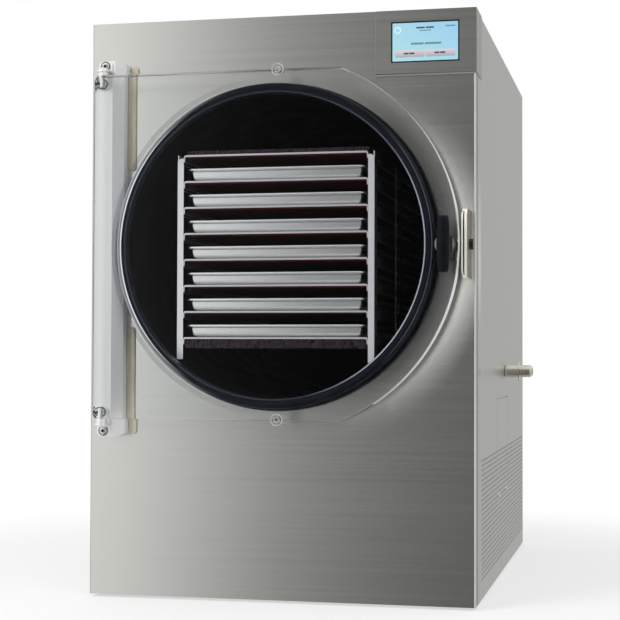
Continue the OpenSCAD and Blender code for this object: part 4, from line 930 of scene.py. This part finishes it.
def make_hinge_screws():
    """Button-head screws with a socket, on washers; the socket's floor and a ring round each head's foot are
    painted shade.
    """
    (x0, y0, z0), (x1, _, z1) = box_mm("hinge_screws")
    leg_y = y0 + 3.2
    half = (x1 - x0) / 2
    pitch = 26.0
    x = (x0 + x1) / 2
    button = [(0, -2.3), (2.2, -2.3), (2.2, -0.02), (half, -0.02), (half, 0.6), (half - 0.3, 0.9),
              (5.6, 0.95), (5.5, 1.5), (5.1, 2.2), (4.3, 2.75), (3.3, 3.1), (2.55, 3.2), (2.3, 3.05),
              (2.15, 1.5), (0, 1.4)]
    hexagon = [(0, 1.3), (2.1, 1.3), (2.1, 2.3), (0, 2.3)]
    disc = [(5.7, 0.5), (6.6, 0.5), (6.6, 1.02), (5.7, 1.02)]
    heights = (z1 - half, z1 - half - pitch, z0 + half, z0 + half + pitch)
    for number, z in enumerate(heights, 1):
        place = cab(x, leg_y, z), (0, -1, 0)
        screw = lathe(f"hinge_screw_{number}", button, polished_satin, *place, steps=40)
        stands_for(screw, "hinge_screws")
        # Painted shade: a black plug in the socket, and a black ring in the crease round the foot of the
        # head.
        socket = lathe(f"hinge_socket_{number}", hexagon, recess_shade, *place, steps=6, smooth_angle=None)
        foot_shade = lathe(f"hinge_head_shade_{number}", disc, recess_shade, *place, steps=40)
        for obj in (socket, foot_shade):
            belongs(obj)
    # The pins: a head over the bracket and a slim shank down into the door's edge.
    (px0, py0, pz0), (px1, py1, pz1) = box_mm("hinge_pins")
    at = (px0 + px1) / 2, (py0 + py1) / 2
    for name, z, sign in (("high", pz1, -1), ("low", pz0, 1)):
        head = (px1 - px0) / 2
        profile = [(0, 0), (head - 1.2, 0), (head, 0.9), (head, 3.0), (PIN_R, 3.0),
                   (PIN_R, 25.0), (PIN_R - 1, 26.5), (0, 26.5)]
        pin = lathe(f"hinge_pin_{name}", profile, bracket_steel, cab(*at, z), (0, 0, sign), steps=32)
        stands_for(pin, "hinge_pins")


make_hinge_screws()

# ---- Display ----


def display_material():
    """Pale blue display face, a little greener towards its lower left."""
    mat, g, bsdf = material("display_face", Roughness=0.25, Specular_IOR_Level=0.3)
    lo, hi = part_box("touch_screen")
    x, _, z = g.split(g.place())
    u = g.ramp(x, lo.x, hi.x)
    v = g.ramp(z, lo.z, hi.z)
    speckle = g.spread(g.noise(900, 2.0), 0.97, 1.03)
    top = g.mix(u, linear(172, 220, 240), linear(158, 208, 240))
    low = g.mix(u, linear(176, 228, 232), linear(168, 220, 240))
    tone = g.mix(v, low, top)
    shown = g.add("ShaderNodeVectorMath", operation="SCALE")
    g.put(shown.inputs[0], tone)
    g.put(shown.inputs["Scale"], speckle)
    g.put(bsdf.inputs["Emission Color"], shown.outputs[0])
    bsdf.inputs["Emission Strength"].default_value = 0.92
    g.put(bsdf.inputs["Base Color"], (0.02, 0.03, 0.035, 1.0))
    return mat


def key_material(name, light, dark, low_z, high_z):
    mat, g, bsdf = material(name, Roughness=0.3, Specular_IOR_Level=0.3)
    _, _, z = g.split(g.place())
    grain = g.spread(g.noise(700, 2.0), -0.04, 0.04)
    level_z = g.math("ADD", g.ramp(z, low_z, high_z), grain)
    g.put(bsdf.inputs["Emission Color"], g.mix(level_z, dark, light))
    bsdf.inputs["Emission Strength"].default_value = 0.9
    g.put(bsdf.inputs["Base Color"], (0.03, 0.03, 0.03, 1.0))
    return mat


def make_display():
    (x0, y0, z0), (x1, y1, z1) = box_mm("touch_screen")
    pieces = [plate("display_frame", (x0, x1), (y0 + 0.35, y1), (z0, z1), display_black, radius=1.2,
                    bevel=0.3)]
    inset = 1.7
    fx0, fx1, fz0, fz1 = x0 + inset, x1 - inset, z0 + inset, z1 - inset
    pieces.append(plate("display_glow", (fx0, fx1), (y0 + 0.2, y0 + 0.6), (fz0, fz1), display_material(),
                        radius=0.6))
    key_z = (fz0 + 5.0, fz0 + 14.6)
    button = key_material("display_key", linear(222, 218, 222), linear(176, 168, 178),
                          BASE_Z + key_z[0] * MM, BASE_Z + key_z[1] * MM)
    middle_x = (fx0 + fx1) / 2
    for name, a, b in (("left", fx0 + 3.6, middle_x - 0.9), ("right", middle_x + 0.9, fx1 - 3.6)):
        pieces.append(plate(f"display_key_{name}", (a, b), (y0 + 0.08, y0 + 0.3), key_z, button, radius=1.0))
        half = (b - a) / 2
        words = ((a + half - 8.0, a + half - 1.6), (a + half - 0.8, a + half + 6.5))
        for k, (p, q) in enumerate(words):
            pieces.append(plate(f"display_mark_{name}_{k + 1}", (p, q), (y0 + 0.02, y0 + 0.2),
                                (key_z[0] + 3.9, key_z[0] + 6.3), display_ink, radius=0.6))
    rows = [(middle_x - 12, middle_x - 0.5, fz1 - 8.0, 2.2, display_ink),
            (middle_x + 0.8, middle_x + 12, fz1 - 8.0, 2.2, display_ink),
            (middle_x - 8, middle_x + 8, fz1 - 11.4, 1.5, display_grey),
            (fx1 - 17, fx1 - 3.5, fz1 - 6.6, 1.8, display_grey),
            (fx0 + 25, fx0 + 42, fz0 + 21.6, 2.8, display_grey),
            (fx0 + 43.5, fx0 + 66, fz0 + 21.6, 2.8, display_grey)]
    for k, (a, b, z, t, ink) in enumerate(rows):
        pieces.append(plate(f"display_row_{k + 1}", (a, b), (y0 + 0.02, y0 + 0.3), (z, z + t), ink,
                            radius=0.6))
    dial = lathe("display_dial", [(3.4, 0.0), (4.3, 0.0), (4.3, 0.12), (3.4, 0.12)], display_white,
                 cab(fx0 + 7.0, y0 + 0.2, fz1 - 9.5), (0, -1, 0), steps=32)
    pieces.append(dial)
    for obj in pieces:
        stands_for(obj, "touch_screen")


make_display()

# ---- Hinge channel ----
CHANNEL_CHAMFER = (12.0, 14.5)
CHANNEL_TRIM = 8.9   # the channel seen is this much narrower than its CAD node
CHANNEL_END = 6.0


def make_channel():
    """A folded channel whose inner front corner is a wide slope. Its ends are eased, and its inner side is
    cut away round the flange."""
    (x0, y0, z0), (x1, y1, z1) = box_mm("hinge_channel")
    x1 -= CHANNEL_TRIM
    cx, cz = CHANNEL_CHAMFER
    flange = box_mm("vacuum_chamber")
    reach = (flange[1][0] - flange[0][0]) / 2 + 1.5
    axis_x = (flange[0][0] + flange[1][0]) / 2
    middle = (flange[0][2] + flange[1][2]) / 2
    loops = []
    heights = [z0 + (z1 - z0) * k / 100 for k in range(101)]
    ends = [z0, z0 + 2, z0 + 4, z0 + CHANNEL_END, z1 - CHANNEL_END, z1 - 4, z1 - 2, z1]
    heights = sorted(set(ends + heights))
    for z in heights:
        end = min(z - z0, z1 - z)
        ease = CHANNEL_END - math.sqrt(max(CHANNEL_END ** 2 - max(CHANNEL_END - end, 0.0) ** 2, 0.0))
        side = x1 - ease
        if abs(z - middle) < reach:
            side = min(side, axis_x - math.sqrt(reach ** 2 - (z - middle) ** 2))
        slope_y = y0 + cz * min(1.0, max(0.0, (side - (x1 - cx)) / cx))
        front_x = min(x1 - cx, side - 0.2)
        loop = [(x0, y1), (x0, y0 + 1.2), (x0 + 0.35, y0 + 0.35), (x0 + 1.2, y0), (front_x - 0.8, y0),
                (front_x, y0 + 0.15), (side - 0.1, slope_y + 0.02), (side, slope_y + 0.5), (side, y1)]
        loops.append([cab(x, y, z) for x, y in loop])
    obj = loft("folded_channel", loops, channel_steel, 14)
    stands_for(obj, "hinge_channel")


make_channel()

# ---- Sealing strip, edge folds and strike bars ----
BAR_SIDES = 10


def bar(name, points, radius, mat):
    """A round bar along a path of points in cabinet millimetres."""
    path = [cab(*p) for p in points]
    loops = []
    for i, p in enumerate(path):
        ahead = path[min(i + 1, len(path) - 1)] - path[max(i - 1, 0)]
        ahead.normalize()
        across = ahead.cross(Vector((1, 0, 0))).normalized()
        turns = [2 * math.pi * k / BAR_SIDES for k in range(BAR_SIDES)]
        loops.append([p + (Vector((1, 0, 0)) * math.cos(a) + across * math.sin(a)) * radius * MM
                      for a in turns])
    belongs(loft(name, loops, mat, 50))


def make_strike_bars():
    (x0, y0, z0), (x1, _, z1) = box_mm("strike")
    for name, x, r, drop in (("outer", x1 - 2.1, 1.7, 0.0), ("inner", x0 + 1.1, 1.05, 4.0)):
        low, high, front = z0 + r + drop, z1 - r - drop, y0 + r
        corner = 10.0
        arc = [math.pi / 2 * k / 8 for k in range(1, 8)]
        pts = [(x, -8.0, low), (x, front + corner, low)]
        pts += [(x, front + corner - corner * math.sin(a), low + corner - corner * math.cos(a)) for a in arc]
        pts += [(x, front, low + corner), (x, front, (low + high) / 2), (x, front, high - corner)]
        pts += [(x, front + corner - corner * math.cos(a), high - corner + corner * math.sin(a))
                for a in arc]
        pts += [(x, front + corner, high), (x, -8.0, high)]
        bar(f"strike_bar_{name}", pts, r, strike_bead)
    # Rounded ends that close the gap between the two walls.
    for name, z in (("low", z0 + 2.2), ("high", z1 - 2.2)):
        piece = plate(f"strike_end_{name}", (x0 + 0.4, x1 - 0.6), (y0 + 8, -1), (z - 2.0, z + 2.0),
                      strike_bead, radius=1.9, bevel=1.2)
        belongs(piece)


make_strike_bars()


def make_grip():
    """The latch's moulded grip: full in the middle, narrower towards its rounded ends."""
    (x0, y0, z0), (x1, y1, z1) = box_mm("latch_grip")
    half, end_r, loops = (z1 - z0) / 2, 5.0, []
    for k in range(49):
        t = -math.cos(math.pi * k / 48)
        inset = max(0.0, end_r - half * (1 - abs(t))) / end_r
        size = (1 - 0.24 * abs(t) ** 2.4) * (0.4 + 0.6 * math.sqrt(max(0.0, 1 - inset ** 2)))
        loop = []
        for i in range(40):
            c, q = math.cos(2 * math.pi * i / 40), math.sin(2 * math.pi * i / 40)
            across = math.copysign(abs(c) ** 0.72, c) * (x1 - x0) / 2 * size
            out = math.copysign(abs(q) ** 0.72, q) * (y1 - y0) / 2 * size
            depth = y1 - (y1 - y0) / 2 * size + out
            loop.append(cab((x0 + x1) / 2 + across, depth, (z0 + z1) / 2 + half * t))
        loops.append(loop)
    stands_for(loft("moulded_grip", loops, black_gloss, 50), "latch_grip", "latch")


make_grip()


def make_rack_wire():
    """The upright wire outside the rack's right side, a third of the way back."""
    (_, _, z0), (x1, _, z1) = box_mm("rack_right_side")
    bar("rack_wire", [(x1 + 0.85, 157, z1 - 4 - (z1 - z0 - 14) * k / 8) for k in range(9)], 0.9, wire_steel)


make_rack_wire()


def make_front_strips():
    """The sealing strip beside the channel, the bright folds, and a strip of painted shadow in the joint at
    the front's right edge.
    """
    (_, _, pz0), (px1, _, _) = box_mm("front_panel")
    (_, _, bezel_z), _ = box_mm("control_panel")
    (_, _, cz0), (cx1, _, cz1) = box_mm("hinge_channel")
    mid_z = (cz0 + cz1) / 2
    strip_x = (cx1 - CHANNEL_TRIM + 0.3, cx1 + 3.3)
    for end, z in (("low", (cz0 + 2, mid_z - 108)), ("high", (mid_z + 108, cz1 - 3))):
        strip = plate(f"sealing_strip_{end}", strip_x, (-3.4, -0.05), z, strip_putty, radius=5.0, bevel=1.4)
        belongs(strip)
    fold = plate("front_fold", (px1 - 1.9, px1 - 0.02), (-0.55, 0.6), (pz0 + 0.5, bezel_z - 0.4), edge_steel,
                 radius=0.4, bevel=0.5)
    rail = plate("bezel_fold", (135.0, px1 - 0.1), (-1.45, -0.1), (bezel_z - 2.6, bezel_z - 0.15), rail_steel,
                 radius=0.6, bevel=0.6)
    for obj in (fold, rail):
        belongs(obj)
    # Painted shadow: a dark strip on the side, in the joint just behind the front's fold.
    corners = ((12.0, pz0 + 1), (29.0, pz0 + 1), (29.0, bezel_z - 1), (12.0, bezel_z - 1))
    sides = [[cab(x, y, z) for y, z in corners] for x in (px1 + 0.12, px1 - 0.4)]
    belongs(loft("side_joint_shadow", sides, joint_shadow_steel, None))


make_front_strips()

# ---- Camera ----
FOCAL_PX = 1544.0
FRAME_PX = 620.0
SENSOR = 36.0
YAW, PITCH, ROLL = (math.radians(v) for v in (12.62, 1.60, 0.165))
forward = Vector((-math.sin(YAW) * math.cos(PITCH), math.cos(YAW) * math.cos(PITCH), math.sin(PITCH)))
level = Vector((math.cos(YAW), math.sin(YAW), 0))
upright = level.cross(forward)
right = level * math.cos(ROLL) + upright * math.sin(ROLL)
up = right.cross(forward)
camera = bpy.data.cameras.new("camera")
camera.sensor_width = SENSOR
camera.lens = FOCAL_PX / FRAME_PX * SENSOR
camera.clip_start = 0.05
camera_obj = bpy.data.objects.new("camera", camera)
scene.collection.objects.link(camera_obj)
camera_obj.matrix_world = Matrix.Translation(cab(500.2, -2035.8, 334.3)) @ Matrix(
    (right, up, -forward)).transposed().to_4x4()
scene.camera = camera_obj

# ---- Studio ----


def studio_world():
    """White behind the object. What metal mirrors and what lights it is a soft room: bright on the left, dim
    towards the camera, pale behind and overhead."""
    world = bpy.data.worlds.new("studio")
    world.use_nodes = True
    scene.world = world
    g = Graph(world.node_tree)
    g.nodes.clear()
    x, y, z = g.split(g.add("ShaderNodeTexCoord").outputs["Generated"])
    front = g.add("ShaderNodeValToRGB")
    stops = [(-1.0, 0.55), (-0.75, 0.8), (-0.5, 1.05), (-0.36, 1.06), (-0.316, 0.86), (-0.292, 0.72),
             (-0.26, 0.52), (-0.23, 0.37), (-0.198, 0.285), (-0.165, 0.225), (-0.12, 0.17), (0.0, 0.14),
             (0.3, 0.25), (0.6, 0.5), (1.0, 0.7)]
    ramp = front.color_ramp
    top = 1.1
    ramp.elements[0].position = (stops[0][0] + 1) / 2
    ramp.elements[1].position = (stops[-1][0] + 1) / 2
    ramp.elements[0].color = (*[stops[0][1] / top] * 3, 1)
    ramp.elements[1].color = (*[stops[-1][1] / top] * 3, 1)
    for place, value in stops[1:-1]:
        element = ramp.elements.new((place + 1) / 2)
        element.color = (*[value / top] * 3, 1)
    g.put(front.inputs[0], g.ramp(x, -1.0, 1.0))
    lower = g.ramp(z, -0.2, 0.25, 0.86, 1.08)
    front_level = g.times(front.outputs[0], top, lower)
    behind = g.ramp(y, -0.25, 0.15, smooth=True)
    around = g.blend(behind, front_level, 0.55)
    overhead = g.ramp(z, 0.4, 0.75, smooth=True)
    soft = g.blend(overhead, around, 0.95)
    rays = g.add("ShaderNodeLightPath").outputs
    through = g.times(rays["Is Transmission Ray"], behind)
    strength = g.blend(g.math("MAXIMUM", rays["Is Camera Ray"], through), soft, 1.0)
    background = g.add("ShaderNodeBackground")
    background.inputs["Color"].default_value = (1, 1, 1, 1)
    g.put(background.inputs["Strength"], strength)
    g.links.new(background.outputs[0], g.add("ShaderNodeOutputWorld").inputs[0])


studio_world()


def softbox(name, place, target, size, watts):
    """A soft light that metal does not mirror."""
    light = bpy.data.lights.new(name, "AREA")
    light.shape = "RECTANGLE"
    light.size, light.size_y = size
    light.energy = watts
    obj = bpy.data.objects.new(name, light)
    scene.collection.objects.link(obj)
    aim = (target - Vector(place)).to_track_quat("-Z", "Y").to_matrix().to_4x4()
    obj.matrix_world = Matrix.Translation(place) @ aim
    obj.visible_glossy = False
    obj.visible_transmission = False


middle = Vector((0, 0, 0.42))
softbox("key", (-1.9, -2.6, 1.9), middle, (1.6, 1.6), 60)
softbox("fill", (1.8, -2.4, 1.3), middle, (1.8, 1.8), 22)

# ---- Floor ----
FLOOR_SIDE = 6.0
floor_mat, g, bsdf = material("floor", Specular_IOR_Level=0.2)
speck = g.noise(220, 3.0)
g.put(bsdf.inputs["Base Color"], g.mix(speck, (0.86, 0.86, 0.86), (0.90, 0.90, 0.90)))
g.put(bsdf.inputs["Roughness"], g.spread(speck, 0.55, 0.65))
glow = g.add("ShaderNodeEmission")
glow.inputs["Color"].default_value = (1, 1, 1, 1)
x, y, _ = g.split(g.place())
reach = g.length(x, y)
fade = g.ramp(reach, 0.55, 1.1, 0.55, 1.0, smooth=True)
rays = g.add("ShaderNodeLightPath").outputs
in_front = g.math("LESS_THAN", y, FACE_Y)
through = rays["Is Transmission Ray"]
seen = g.math("MAXIMUM", rays["Is Camera Ray"], g.times(through, g.math("SUBTRACT", 1.0, in_front)))
lit = g.add("ShaderNodeMixShader")
g.put(lit.inputs[0], g.times(seen, fade))
g.links.new(bsdf.outputs[0], lit.inputs[1])
g.links.new(glow.outputs[0], lit.inputs[2])
# What the front mirrors through the clear door is the room, as it is beside the door.
unseen = g.add("ShaderNodeMixShader")
g.put(unseen.inputs[0], g.times(through, in_front))
g.links.new(lit.outputs[0], unseen.inputs[1])
g.links.new(g.add("ShaderNodeBsdfTransparent").outputs[0], unseen.inputs[2])
out = g.nodes["Material Output"]
g.links.new(unseen.outputs[0], out.inputs[0])
s = FLOOR_SIDE / 2
floor_z = cad_box[0].z
corners = [(-s, -s, floor_z), (s, -s, floor_z), (s, s, floor_z), (-s, s, floor_z)]
floor = mesh_object("floor", corners, [(0, 1, 2, 3)], floor_mat)
floor.visible_glossy = False
